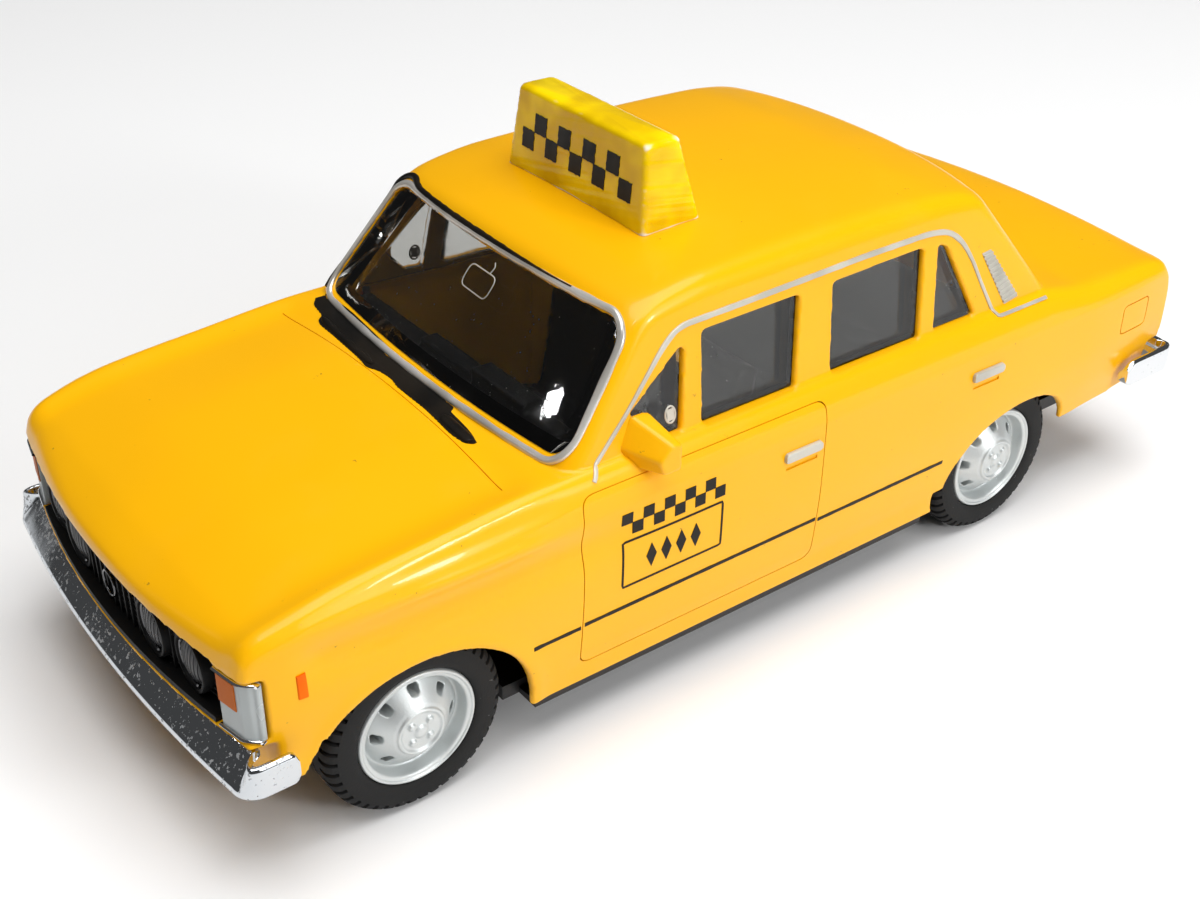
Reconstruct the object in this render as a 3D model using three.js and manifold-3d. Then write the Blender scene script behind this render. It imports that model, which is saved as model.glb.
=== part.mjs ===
// A die-cast toy taxi: a cast body shell with two opening front doors, a clear cabin moulding,
// a plastic interior and base, two rolling axles and a wind-up gear train on the rear axle.
// Frame: X forward, Y to the car's left, Z up, millimetres. The tyres stand on Z = 0.
import * as THREE from "three";
import { mergeVertices } from "three/addons/utils/BufferGeometryUtils.js";
import Module from "manifold-3d";

const wasm = await Module();
wasm.setup();

// Overall sizes
const FRONT_OVERHANG = 17.3; // front axle to the front of the bumper
const WHEELBASE = 67.7;
const REAR_OVERHANG = 27; // rear axle to the back of the rear bumper
const BODY_WIDTH = 44.2; // across the doors
const SIDE_HALF = BODY_WIDTH / 2;
const BUMPER_WIDTH = BODY_WIDTH + 1.6;
const WALL = 1.3; // cast body and doors
const SLIP = 0.3; // clearance round a piece that drops into its seat
const REST = 0.15; // clearance under a piece that rests on another

// Wheels and axles
const TYRE_RADIUS = 8.2;
const TYRE_WIDTH = 5.6;
const TYRE_FACETS = 24;
const RIM_RADIUS = 5.4;
const RIM_FACETS = 20;
const WHEEL_FACE_Y = SIDE_HALF - 1.2; // outer face of the tyres
const AXLE_RADIUS = 1;
const VENT_COUNT = 8;
const VENT_CIRCLE = 3.7; // radius of the ring of vents in each rim
const VENT_RADIUS = 0.6;

// Body heights and set-backs
const SILL_Z = 5;
const BELT_Z = 25; // foot of the cabin
const CREASE_Z = BELT_Z - 3.8; // shoulder crease along the side
const ROOF_Z = 38.8; // highest line of the roof
const NOSE_SETBACK = 0.9; // bumper front to body front
const TAIL_SETBACK = 0.9;
const NOSE_BOW = 2.2; // how far the front sweeps back at the corners
const TAIL_BOW = 0.8;
const BOW_REACH = 10; // length over which the sweep fades out
const HOOD_FOLD_Y = SIDE_HALF * 0.34; // crease of the raised middle of the hood
const HOOD_VALLEY = 0.25; // dip between hood and wing

// Cabin
const CABIN_HALF = SIDE_HALF - 1.9; // half width at the belt
const ROOF_HALF = CABIN_HALF - 2.3; // half width at the roof edge
const SCREEN_SETBACK = 13.4; // front axle to the foot of the windscreen
const SCREEN_RAKE = 9.4; // run of the windscreen from foot to roof
const BACKLIGHT_SETBACK = 8; // rear axle to the foot of the rear screen
const BACKLIGHT_RAKE = 9.5;
const SCREEN_BOW = 1.3;
const BACKLIGHT_BOW = 2.4;
const PILLAR_RADIUS = 2; // plan radius of the cabin corners
const ROOF_ROUND_SIDE = 2;
const ROOF_ROUND_END = 1.1;
const ROOF_CROWN = 0.9; // fall of the roof from the middle to its sides
const GLASS = 0.9;
const WINDOW_FOOT_Z = BELT_Z + 0.6;
const WINDOW_HEAD_Z = ROOF_Z - 5.4;

// Doors
const DOOR_SETBACK = 15.5; // front axle to the front edge of the door opening
const DOOR_LENGTH = WHEELBASE * 0.393;
const DOOR_FOOT_Z = SILL_Z + 2.2;
const DOOR_HEAD_Z = BELT_Z - 0.8;
const DOOR_GAP = 0.35;
const DOOR_BEVEL = 0.3; // the door's front edge leans back by this to clear the wing as it swings
const HINGE_BEHIND = 5.5; // hinge line behind the door's front edge
const HINGE_Y = SIDE_HALF - 2.2;
const PIN_RADIUS = 0.35;
const PIN_SLIP = 0.2;
const KNUCKLE_HALF = 1.1;
const KNUCKLE_HEIGHT = 3;
const LUG_DEPTH = 0.8; // hinge lug inboard of the pin

// Wheel arches
const FRONT_ARCH_HALF = 10.4;
const ARCH_FOOT_Z = 6.2;
const FRONT_ARCH_RISE = 9.2;
const WELL_RADIUS = TYRE_RADIUS + 0.9;
const WELL_SIDE = 0.45; // clearance beside the tyre inside the wing

// Lights, grille and bumpers
const GRILLE_HALF = SIDE_HALF - 5.1;
const GRILLE_FOOT_Z = 13.8;
const GRILLE_HEIGHT = 5.4;
const GRILLE_DEPTH = 1.5;
const GRILLE_RECESS = 2.4;
const LAMP_RADIUS = 2;
const LAMP_OUTER_Y = GRILLE_HALF - 4.1;
const LAMP_INNER_Y = LAMP_OUTER_Y - 5.7;
const CORNER_LAMP_WIDTH = 3.5;
const CORNER_LAMP_LENGTH = 2.4; // along the side of the wing
const CORNER_LAMP_BACK_X = 3.8; // nose to the back of the corner lamp
const TAIL_LAMP_WIDTH = 6;
const TAIL_LAMP_HEIGHT = 5.4;
const TAIL_LAMP_FOOT_Z = 14.8;
const TAIL_LAMP_INNER_Y = SIDE_HALF - 8.7;
const TAIL_LAMP_DEPTH = 1.1;
const BUMPER_HEIGHT = 3;
const BUMPER_THICK = 1.1;
const FRONT_BUMPER_FOOT_Z = 10;
const REAR_BUMPER_FOOT_Z = 10.9;
const FRONT_WRAP = 6.2; // bumper front to the end of its side return
const REAR_WRAP = 9;
const BUMPER_CORNER = 2;
const BUMPER_BED = 2.1; // depth of the step that the bumper lies in
const PEG_Y = SIDE_HALF / 2;
const PEG_HALF = 0.8;
const PEG_LENGTH = 2.2;

// Roof sign and mirrors
const SIGN_LENGTH = 20.2; // across the car
const SIGN_DEPTH = 6.3;
const SIGN_TOP_DEPTH = 3.8;
const SIGN_HEIGHT = 7.5;
const SIGN_SETBACK = 16.8; // foot of the windscreen to the sign's front
const SIGN_LEAN = 0.7; // front face leans back by this
const SIGN_END_LEAN = 0.8;
const MIRROR_LENGTH = 4.2;
const MIRROR_REACH = 3;
const MIRROR_HEIGHT = 4.6;
const MIRROR_SETBACK = 4.6; // door front to mirror front

// Base, interior and screws
const BASE_FOOT_Z = 4.2;
const BASE_THICK = 1.4;
const BASE_NOSE_Z = 6.8; // underside of the base ahead of the front wheels
const BASE_TAIL_Z = 8.6; // underside of the base behind the rear wheels
const BASE_EDGE = 0.65; // flange under the sill
const BASE_SIDE_SLIP = 0.4;
const SADDLE_HALF = 2.6;
const SADDLE_Y = WHEEL_FACE_Y - TYRE_WIDTH - 6.3;
const SADDLE_WIDTH = 2.2;
const POST_RADIUS = 2.4;
const SCREW_RADIUS = 1;
const SCREW_HEAD_RADIUS = 2;
const SCREW_HEAD_HEIGHT = 0.8;
const SCREW_LENGTH = 8;
const FRONT_POST_BEHIND = 8.5; // front axle to front post
const REAR_POST_AHEAD = 10.1; // rear post to the tail
const TUB_HALF = SIDE_HALF - 6.9;
const DASH_HALF = TUB_HALF - 1.4; // narrower, so that an open door's front edge swings past it
const TUB_FLOOR = 1;
const SEAT_WIDTH = TUB_HALF * 0.7;
const SEAT_Y = TUB_HALF / 2 - 0.2;
const WHEEL_RING_RADIUS = 3.6; // steering wheel
const WHEEL_RING_WIRE = 0.5;

// Wind-up gear train
const MODULE = 0.5;
const PINION_TEETH = 8;
const GEAR_TEETH = 16;
const GEAR_WIDTH = 2;
const GEAR_Y = -4; // right-hand face of the winding gear
const GEAR_ANGLE = 40; // degrees above level, from the axle to the winding shaft
const CASE_HALF = 6.2;
const CASE_WALL = 0.9;
const SHAFT_RADIUS = 0.8;
const DRUM_WIDTH = 3.6;
const DRUM_RADIUS = 3.1;

// Places worked out from the sizes above
const LENGTH = FRONT_OVERHANG + WHEELBASE + REAR_OVERHANG;
const FRONT_X = LENGTH / 2;
const FRONT_AXLE_X = FRONT_X - FRONT_OVERHANG;
const REAR_AXLE_X = FRONT_AXLE_X - WHEELBASE;
const NOSE_X = FRONT_X - NOSE_SETBACK;
const TAIL_X = -FRONT_X + TAIL_SETBACK;
const AXLE_Z = TYRE_RADIUS * Math.cos(Math.PI / TYRE_FACETS);
const CREST_HALF = SIDE_HALF - 1.7;
const SCREEN_FOOT_X = FRONT_AXLE_X - SCREEN_SETBACK;
const SCREEN_HEAD_X = SCREEN_FOOT_X - SCREEN_RAKE;
const BACKLIGHT_FOOT_X = REAR_AXLE_X - BACKLIGHT_SETBACK;
const BACKLIGHT_HEAD_X = BACKLIGHT_FOOT_X + BACKLIGHT_RAKE;
const DOOR_FRONT_X = FRONT_AXLE_X - DOOR_SETBACK;
const DOOR_REAR_X = DOOR_FRONT_X - DOOR_LENGTH;
const HINGE_X = DOOR_FRONT_X - DOOR_GAP - HINGE_BEHIND;
const CAVITY_FRONT_X = NOSE_X - CORNER_LAMP_BACK_X - 2;
const CAVITY_REAR_X = TAIL_X + 4;
const BASE_TOP_Z = BASE_FOOT_Z + BASE_THICK;
const FAR = 40; // beyond the car on every side

// Smooth curve through a few [x, value] pairs that never overshoots them
function curve(pairs) {
  const points = [...pairs].sort((a, b) => a[0] - b[0]);
  const rise = points.slice(1).map((p, i) => (p[1] - points[i][1]) / (p[0] - points[i][0]));
  const slope = points.map((p, i) => {
    if (i === 0) return rise[0];
    if (i === points.length - 1) return rise[i - 1];
    return rise[i - 1] * rise[i] <= 0 ? 0 : (2 * rise[i - 1] * rise[i]) / (rise[i - 1] + rise[i]);
  });
  return (x) => {
    if (x <= points[0][0]) return points[0][1];
    const i = points.findIndex((p, k) => k > 0 && x <= p[0]);
    if (i < 0) return points[points.length - 1][1];
    const [x0, v0] = points[i - 1];
    const [x1, v1] = points[i];
    const h = x1 - x0;
    const t = (x - x0) / h;
    const s = 1 - t;
    const bend = s * s * t * h * slope[i - 1] - s * t * t * h * slope[i];
    return v0 * s * s * (1 + 2 * t) + v1 * t * t * (3 - 2 * t) + bend;
  };
}

// Lines of the lower body along the car
const sideHalf = curve([
  [NOSE_X, SIDE_HALF - 1],
  [NOSE_X - 5, SIDE_HALF - 0.5],
  [NOSE_X - 11, SIDE_HALF - 0.2],
  [DOOR_FRONT_X + 7, SIDE_HALF],
  [REAR_AXLE_X - 11, SIDE_HALF],
  [TAIL_X + 7, SIDE_HALF - 0.3],
  [TAIL_X, SIDE_HALF - 1],
]);
const crestHalf = curve([
  [NOSE_X, CREST_HALF - 0.3],
  [NOSE_X - 8, CREST_HALF],
  [TAIL_X + 9, CREST_HALF - 0.2],
  [TAIL_X, CREST_HALF - 0.7],
]);
const crestHeight = curve([
  [NOSE_X, BELT_Z - 4.9],
  [NOSE_X - 0.5, BELT_Z - 3.7],
  [NOSE_X - 1.5, BELT_Z - 2.8],
  [NOSE_X - 2.8, BELT_Z - 2.3],
  [NOSE_X - 11, BELT_Z - 0.8],
  [NOSE_X - 19, BELT_Z - 0.1],
  [SCREEN_FOOT_X, BELT_Z + 0.6],
  [BACKLIGHT_FOOT_X + 4, BELT_Z + 0.3],
  [BACKLIGHT_FOOT_X - 3, BELT_Z - 0.7],
  [TAIL_X + 5, BELT_Z - 1.2],
  [TAIL_X + 1.4, BELT_Z - 1.8],
  [TAIL_X + 0.4, BELT_Z - 2.7],
  [TAIL_X, BELT_Z - 3.8],
]);
const deckHeight = curve([
  [NOSE_X, BELT_Z - 4.7],
  [NOSE_X - 0.5, BELT_Z - 3.5],
  [NOSE_X - 1.5, BELT_Z - 2.6],
  [NOSE_X - 3, BELT_Z - 2.1],
  [NOSE_X - 11, BELT_Z - 0.4],
  [NOSE_X - 19, BELT_Z + 0.5],
  [SCREEN_FOOT_X + 1, BELT_Z + 1.1],
  [BACKLIGHT_FOOT_X + 2, BELT_Z + 0.4],
  [BACKLIGHT_FOOT_X - 4, BELT_Z - 0.1],
  [TAIL_X + 5, BELT_Z - 0.7],
  [TAIL_X + 1.4, BELT_Z - 1.2],
  [TAIL_X + 0.4, BELT_Z - 2.1],
  [TAIL_X, BELT_Z - 3.4],
]);
const footHeight = curve([
  [NOSE_X, SILL_Z + 3.2],
  [FRONT_AXLE_X + 10, SILL_Z + 3.4],
  [FRONT_AXLE_X - 10, SILL_Z],
  [REAR_AXLE_X + 8, SILL_Z],
  [REAR_AXLE_X - 9.5, SILL_Z + 4.4],
  [TAIL_X, SILL_Z + 5.2],
]);
const roofLine = curve([
  [SCREEN_HEAD_X, ROOF_Z - 1.9],
  [SCREEN_HEAD_X - 4, ROOF_Z - 0.8],
  [SCREEN_HEAD_X - 9, ROOF_Z - 0.2],
  [SCREEN_HEAD_X - 22, ROOF_Z],
  [BACKLIGHT_HEAD_X + 9, ROOF_Z - 0.4],
  [BACKLIGHT_HEAD_X + 3.5, ROOF_Z - 1.1],
  [BACKLIGHT_HEAD_X, ROOF_Z - 1.8],
]);
const roofFall = (y) => ROOF_CROWN * Math.pow(Math.abs(y) / ROOF_HALF, 2.5);

// Sweep of the nose and tail: how far back a point at y lies from the middle of the car
const fade = (x, end) => Math.max(0, 1 - Math.abs(x - end) / BOW_REACH);
const noseSweep = (y) => NOSE_BOW * (y / CREST_HALF) ** 2;
const tailSweep = (y) => TAIL_BOW * (y / CREST_HALF) ** 2;
const swept = (x, y) => x - noseSweep(y) * fade(x, NOSE_X) + tailSweep(y) * fade(x, TAIL_X);

// Solids and meshes
function outward(geometry) {
  const bare = new THREE.BufferGeometry();
  bare.setAttribute("position", geometry.getAttribute("position"));
  if (geometry.index) bare.setIndex(geometry.index);
  const merged = mergeVertices(bare, 1e-4);
  const p = merged.getAttribute("position");
  const index = Array.from(merged.index.array);
  const corner = (k) => new THREE.Vector3().fromBufferAttribute(p, k);
  let volume = 0;
  for (let i = 0; i < index.length; i += 3) {
    const [a, b, c] = [corner(index[i]), corner(index[i + 1]), corner(index[i + 2])];
    volume += a.dot(b.cross(c));
  }
  if (volume < 0) index.reverse();
  const whole = index.filter((_, i) => {
    const t = i - (i % 3);
    return index[t] !== index[t + 1] && index[t + 1] !== index[t + 2] && index[t] !== index[t + 2];
  });
  merged.setIndex(whole);
  return merged;
}

function solid(geometry) {
  const g = outward(geometry);
  const vertProperties = new Float32Array(g.getAttribute("position").array);
  const triVerts = new Uint32Array(g.index.array);
  return new wasm.Manifold(new wasm.Mesh({ numProp: 3, vertProperties, triVerts }));
}

function geometryOf(manifold) {
  const mesh = manifold.getMesh();
  const geometry = new THREE.BufferGeometry();
  geometry.setAttribute("position", new THREE.BufferAttribute(new Float32Array(mesh.vertProperties), 3));
  geometry.setIndex(Array.from(mesh.triVerts));
  geometry.computeVertexNormals();
  return geometry;
}

const joined = (...parts) => parts.reduce((a, b) => a.add(b));
const cut = (base, ...tools) => tools.reduce((a, b) => a.subtract(b), base);

// The same solid on the other side of the car
function mirrored(manifold) {
  const geometry = geometryOf(manifold);
  geometry.scale(1, -1, 1);
  return solid(geometry);
}
const bothSides = (manifold) => manifold.add(mirrored(manifold));

function box(x0, x1, y0, y1, z0, z1) {
  const g = new THREE.BoxGeometry(Math.abs(x1 - x0), Math.abs(y1 - y0), Math.abs(z1 - z0));
  return solid(g.translate((x0 + x1) / 2, (y0 + y1) / 2, (z0 + z1) / 2));
}

// Closed outline with its corners rounded
function rounded(points, radius, steps = 3) {
  const path = [];
  points.forEach((p, i) => {
    const corner = new THREE.Vector2(...p);
    const before = new THREE.Vector2(...points[(i + points.length - 1) % points.length]);
    const after = new THREE.Vector2(...points[(i + 1) % points.length]);
    const reach = (q) => Math.min(radius, q.distanceTo(corner) * 0.45);
    const enter = corner.clone().lerp(before, reach(before) / before.distanceTo(corner));
    const leave = corner.clone().lerp(after, reach(after) / after.distanceTo(corner));
    const bend = new THREE.QuadraticBezierCurve(enter, corner, leave);
    path.push(...bend.getPoints(steps));
  });
  return path.map((p) => [p.x, p.y]);
}

function extruded(points, depth) {
  const shape = new THREE.Shape(points.map((p) => new THREE.Vector2(...p)));
  return new THREE.ExtrudeGeometry(shape, { depth, bevelEnabled: false });
}
// Outline in X and Z, carried across the car from y0 to y1
function prismY(points, y0, y1) {
  return solid(extruded(points, y1 - y0).rotateX(Math.PI / 2).translate(0, y1, 0));
}
// Outline in Y and Z, carried along the car from x0 to x1
function prismX(points, x0, x1) {
  const turn = new THREE.Matrix4().set(0, 0, 1, x0, 1, 0, 0, 0, 0, 1, 0, 0, 0, 0, 0, 1);
  return solid(extruded(points, x1 - x0).applyMatrix4(turn));
}
// Outline in X and Y, carried up from z0 to z1
function prismZ(points, z0, z1) {
  return solid(extruded(points, z1 - z0).translate(0, 0, z0));
}
function rodY(x, z, radius, y0, y1, sides = 12) {
  const g = new THREE.CylinderGeometry(radius, radius, y1 - y0, sides);
  return solid(g.translate(x, (y0 + y1) / 2, z));
}
function rodZ(x, y, radius, z0, z1, sides = 12) {
  const g = new THREE.CylinderGeometry(radius, radius, z1 - z0, sides);
  return solid(g.rotateX(Math.PI / 2).translate(x, y, (z0 + z1) / 2));
}
function rodX(y, z, radius, x0, x1, sides = 16) {
  const g = new THREE.CylinderGeometry(radius, radius, x1 - x0, sides);
  return solid(g.rotateZ(Math.PI / 2).translate((x0 + x1) / 2, y, z));
}
// Profile of [radius, y] pairs turned about the Y axis, a flat facet facing down
function turned(profile, x, z, facets) {
  const points = [...profile, profile[0]].map((p) => new THREE.Vector2(...p));
  const g = new THREE.LatheGeometry(points, facets, Math.PI / facets);
  return solid(g.translate(x, 0, z));
}

// Skin over rings with equal counts of points, closed at both ends
function loft(rings) {
  const n = rings[0].length;
  const middle = (ring) => ring.reduce((a, p) => a.add(p), new THREE.Vector3()).divideScalar(n);
  const points = [...rings.flat(), middle(rings[0]), middle(rings[rings.length - 1])];
  const index = [];
  rings.slice(1).forEach((_, r) => {
    for (let i = 0; i < n; i++) {
      const [a, b] = [r * n + i, r * n + ((i + 1) % n)];
      index.push(a, b, b + n, a, b + n, a + n);
    }
  });
  const last = (rings.length - 1) * n;
  const ends = rings.length * n;
  for (let i = 0; i < n; i++) {
    const next = (i + 1) % n;
    index.push(ends, next, i, ends + 1, last + i, last + next);
  }
  const geometry = new THREE.BufferGeometry().setFromPoints(points);
  geometry.setIndex(index);
  return solid(geometry);
}

// Half section of the lower body at x, from the sill up and in to the middle; inset makes the cavity
function halfSection(x, inset, foot) {
  const side = sideHalf(x) - inset;
  const crest = crestHalf(x) - inset;
  const top = crestHeight(x) - inset;
  const deck = deckHeight(x) - inset;
  const crease = Math.min(CREASE_Z, top - 1.4);
  const onHood = x > SCREEN_FOOT_X ? HOOD_VALLEY : 0;
  const up = (share) => foot + (crease - foot) * share;
  return [
    [side - 0.8, foot],
    [side - 0.2, up(0.35)],
    [side, up(0.62)],
    [side - 0.1, crease],
    [crest + 0.7 * (side - 0.1 - crest), crease + 0.55 * (top - crease)],
    [crest + 0.25 * (side - crest), crease + 0.9 * (top - crease)],
    [crest - 0.4, top],
    [crest - 3, top - onHood + 0.15 * (deck - top)],
    [HOOD_FOLD_Y, deck - 0.12],
    [0, deck],
  ];
}

function bodyRing(x, inset, foot) {
  const half = halfSection(x, inset, foot);
  const left = half.map(([y, z]) => new THREE.Vector3(swept(x, y), y, z));
  const right = half.slice(0, -1).reverse();
  return [...left, ...right.map(([y, z]) => new THREE.Vector3(swept(x, y), -y, z))];
}

const nose = [0, 0.5, 1.5, 4, 9, 15].map((d) => NOSE_X - d);
const tail = [18, 14, 8.5, 3.5, 1.4, 0.4, 0].map((d) => TAIL_X + d);
const stations = [...nose, FRONT_AXLE_X - 5, SCREEN_FOOT_X, DOOR_REAR_X, REAR_AXLE_X, ...tail];
const lowerOuter = loft(stations.map((x) => bodyRing(x, 0, footHeight(x))));
const cavityStations = [CAVITY_FRONT_X, FRONT_AXLE_X + 3.3, FRONT_AXLE_X - 6, SCREEN_FOOT_X, DOOR_REAR_X];
const cavityTail = [REAR_AXLE_X, TAIL_X + 15, CAVITY_REAR_X];
const lowerInner = loft([...cavityStations, ...cavityTail].map((x) => bodyRing(x, WALL, -FAR)));

// Plan outline of the cabin: ends bowed, corners rounded, counts the same for every size
function cabinRing(front, rear, half, frontBow, rearBow, radius) {
  const points = [];
  const straight = half - radius;
  const endX = (x, bow, y) => x - bow * (y / half) ** 2;
  const END_STEPS = 4;
  const CORNER_STEPS = 3;
  const SIDE_STEPS = 4;
  for (let i = 0; i <= END_STEPS; i++) {
    const y = -straight + (2 * straight * i) / END_STEPS;
    points.push([endX(front, frontBow, y), y]);
  }
  const frontCorner = endX(front, frontBow, straight) - radius;
  const rearCorner = endX(rear, -rearBow, straight) + radius;
  const turn = (k) => (Math.PI / 2) * (k / (CORNER_STEPS + 1));
  const around = (x, sx, sy, k) => [x + sx * radius * Math.cos(turn(k)), sy * (straight + radius * Math.sin(turn(k)))];
  for (let k = 1; k <= CORNER_STEPS; k++) points.push(around(frontCorner, 1, 1, k));
  for (let i = 0; i <= SIDE_STEPS; i++) {
    points.push([frontCorner + ((rearCorner - frontCorner) * i) / SIDE_STEPS, half]);
  }
  for (let k = CORNER_STEPS; k >= 1; k--) points.push(around(rearCorner, -1, 1, k));
  for (let i = 0; i <= END_STEPS; i++) {
    const y = straight - (2 * straight * i) / END_STEPS;
    points.push([endX(rear, -rearBow, y), y]);
  }
  for (let k = 1; k <= CORNER_STEPS; k++) points.push(around(rearCorner, -1, -1, k));
  for (let i = 0; i <= SIDE_STEPS; i++) {
    points.push([rearCorner + ((frontCorner - rearCorner) * i) / SIDE_STEPS, -half]);
  }
  for (let k = CORNER_STEPS; k >= 1; k--) points.push(around(frontCorner, 1, -1, k));
  return points;
}

// Cabin block from below the belt to the roof; inset makes the cavity and the glazing
function cabin(inset, footZ) {
  const rake = inset * 1.25; // inset measured level through a raked screen
  const radius = PILLAR_RADIUS;
  const headRing = cabinRing(
    SCREEN_HEAD_X - rake, BACKLIGHT_HEAD_X + rake, ROOF_HALF - inset, SCREEN_BOW / 2, BACKLIGHT_BOW, radius);
  const beltRing = cabinRing(
    SCREEN_FOOT_X - rake, BACKLIGHT_FOOT_X + rake, CABIN_HALF - inset, SCREEN_BOW, BACKLIGHT_BOW, radius);
  const head = headRing.map(([x, y]) => new THREE.Vector3(x, y, roofLine(x) - roofFall(y) - inset));
  const belt = beltRing.map(([x, y]) => new THREE.Vector3(x, y, BELT_Z));
  const foot = belt.map((p, i) => p.clone().lerp(head[i], (footZ - BELT_Z) / (head[i].z - BELT_Z)));
  const middle = new THREE.Vector3((SCREEN_HEAD_X + BACKLIGHT_HEAD_X) / 2, 0, 0);
  const onRoof = (p, share) => {
    const q = p.clone().lerp(middle, share);
    return q.setZ(roofLine(q.x) - roofFall(q.y) - inset);
  };
  const round = head.map((p) => {
    const side = Math.pow(Math.abs(p.y) / (ROOF_HALF - inset), 6);
    return ROOF_ROUND_END + (ROOF_ROUND_SIDE - ROOF_ROUND_END) * side;
  });
  const wallTop = head.map((p, i) => p.clone().lerp(foot[i], round[i] / p.distanceTo(foot[i])));
  const roofEdge = head.map((p, i) => onRoof(p, round[i] / Math.hypot(p.x - middle.x, p.y)));
  const bend = (t) =>
    head.map((p, i) => new THREE.QuadraticBezierCurve3(wallTop[i], p, roofEdge[i]).getPoint(t));
  const inner = (share) => head.map((p) => onRoof(p, share));
  return loft([foot, wallTop, bend(0.33), bend(0.67), roofEdge, inner(0.5), inner(0.97)]);
}

const cabinOuter = cabin(0, BELT_Z - 1.5);
const bodyOuter = lowerOuter.add(cabinOuter);

// Windows, outlines in X and Z seen from the side
const ventWindow = [
  [DOOR_FRONT_X - 6.4, WINDOW_FOOT_Z + 3],
  [DOOR_FRONT_X - 9.4, WINDOW_FOOT_Z],
  [DOOR_FRONT_X - 11.4, WINDOW_FOOT_Z],
  [DOOR_FRONT_X - 12.4, WINDOW_HEAD_Z - 0.4],
];
const doorWindow = [
  [DOOR_FRONT_X - 14.4, WINDOW_HEAD_Z],
  [DOOR_FRONT_X - 13.7, WINDOW_FOOT_Z],
  [DOOR_REAR_X + 2.8, WINDOW_FOOT_Z],
  [DOOR_REAR_X + 1.6, WINDOW_HEAD_Z],
];
const rearWindow = [
  [DOOR_REAR_X - 2.6, WINDOW_HEAD_Z + 0.1],
  [DOOR_REAR_X - 1.8, WINDOW_FOOT_Z],
  [DOOR_REAR_X - 12.7, WINDOW_FOOT_Z],
  [DOOR_REAR_X - 13.6, WINDOW_HEAD_Z + 0.1],
];
const quarterWindow = [
  [DOOR_REAR_X - 15.8, WINDOW_HEAD_Z],
  [DOOR_REAR_X - 15, WINDOW_FOOT_Z + 0.1],
  [DOOR_REAR_X - 20.1, WINDOW_FOOT_Z + 0.1],
  [DOOR_REAR_X - 16.8, WINDOW_HEAD_Z - 0.6],
];
const sideWindows = [ventWindow, doorWindow, rearWindow, quarterWindow].map((w) => prismY(w, -FAR, FAR));
const screenOutline = (foot, head, footHalf, headHalf, radius) =>
  rounded([[-footHalf, foot], [footHalf, foot], [headHalf, head], [-headHalf, head]], radius);
const windscreenCut = prismX(screenOutline(BELT_Z + 1.5, ROOF_Z - 3.3, CABIN_HALF - 1.2, ROOF_HALF - 0.9, 2.2), SCREEN_HEAD_X - 8, SCREEN_FOOT_X + 2);
const backlightCut = prismX(
  screenOutline(BELT_Z + 1.6, ROOF_Z - 3.8, CABIN_HALF - 4.2, ROOF_HALF - 3.5, 2), BACKLIGHT_FOOT_X - 3, BACKLIGHT_HEAD_X + 6);

// Door opening and door outline, seen from the side
const doorOutline = (gap) =>
  rounded(
    [
      [DOOR_FRONT_X - gap, DOOR_FOOT_Z + gap],
      [DOOR_FRONT_X - gap, DOOR_HEAD_Z - gap],
      [DOOR_REAR_X + gap, DOOR_HEAD_Z - gap],
      [DOOR_REAR_X + gap, DOOR_FOOT_Z + gap],
    ],
    1.2,
  );
const DOOR_INNER_Y = TUB_HALF + 1;
const doorOpening = bothSides(prismY(doorOutline(0), DOOR_INNER_Y, FAR));

// Arch openings seen from the side
const halfArch = (x, half, rise, steps = 10) => {
  const points = [];
  for (let i = 0; i <= steps; i++) {
    const a = (Math.PI * i) / steps;
    points.push([x + half * Math.cos(a), ARCH_FOOT_Z + rise * Math.sin(a)]);
  }
  return [...points, [x - half, -FAR], [x + half, -FAR]];
};
const rearArchLine = new THREE.CatmullRomCurve3(
  [
    [8.6, SILL_Z - 1], [7.9, 7.2], [6.2, 10.4], [2.8, 13], [-2, 14.2], [-6.4, 13.6], [-9.2, 11.4], [-9.8, 8],
  ].map(([x, z]) => new THREE.Vector3(REAR_AXLE_X + x, 0, z)),
);
const rearArch = [
  ...rearArchLine.getPoints(14).map((p) => [p.x, p.z]),
  [REAR_AXLE_X - 9.8, -FAR],
  [REAR_AXLE_X + 8.6, -FAR],
];
const wells = [FRONT_AXLE_X, REAR_AXLE_X].map((x) =>
  rodY(x, AXLE_Z, WELL_RADIUS, -WHEEL_FACE_Y - WELL_SIDE, WHEEL_FACE_Y + WELL_SIDE, 32),
);

// Strip of the plan that follows the sweep of the nose, between two set-backs from it
function noseStrip(back, front, y0, y1, steps = 10) {
  const ys = Array.from({ length: steps + 1 }, (_, i) => y0 + ((y1 - y0) * i) / steps);
  const line = (d) => ys.map((y) => [NOSE_X - d - noseSweep(y), y]);
  return [...line(front), ...line(back).reverse()];
}
function tailStrip(front, back, y0, y1, steps = 8) {
  const ys = Array.from({ length: steps + 1 }, (_, i) => y0 + ((y1 - y0) * i) / steps);
  const line = (d) => ys.map((y) => [TAIL_X + d + tailSweep(y), y]);
  return [...line(back), ...line(front).reverse()];
}
const GRILLE_HEAD_Z = GRILLE_FOOT_Z + GRILLE_HEIGHT;
const grilleRecess = prismZ(
  noseStrip(GRILLE_RECESS, -4, -GRILLE_HALF - SLIP, GRILLE_HALF + SLIP), GRILLE_FOOT_Z - SLIP, GRILLE_HEAD_Z + SLIP);
const CORNER_BACK_X = NOSE_X - CORNER_LAMP_BACK_X;
const cornerRecess = bothSides(
  box(CORNER_BACK_X - SLIP, FAR + FRONT_X, GRILLE_HALF + SLIP, FAR, GRILLE_FOOT_Z - SLIP, GRILLE_HEAD_Z + SLIP));
const TAIL_LAMP_HEAD_Z = TAIL_LAMP_FOOT_Z + TAIL_LAMP_HEIGHT;
const TAIL_LAMP_OUTER_Y = TAIL_LAMP_INNER_Y + TAIL_LAMP_WIDTH;
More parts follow.
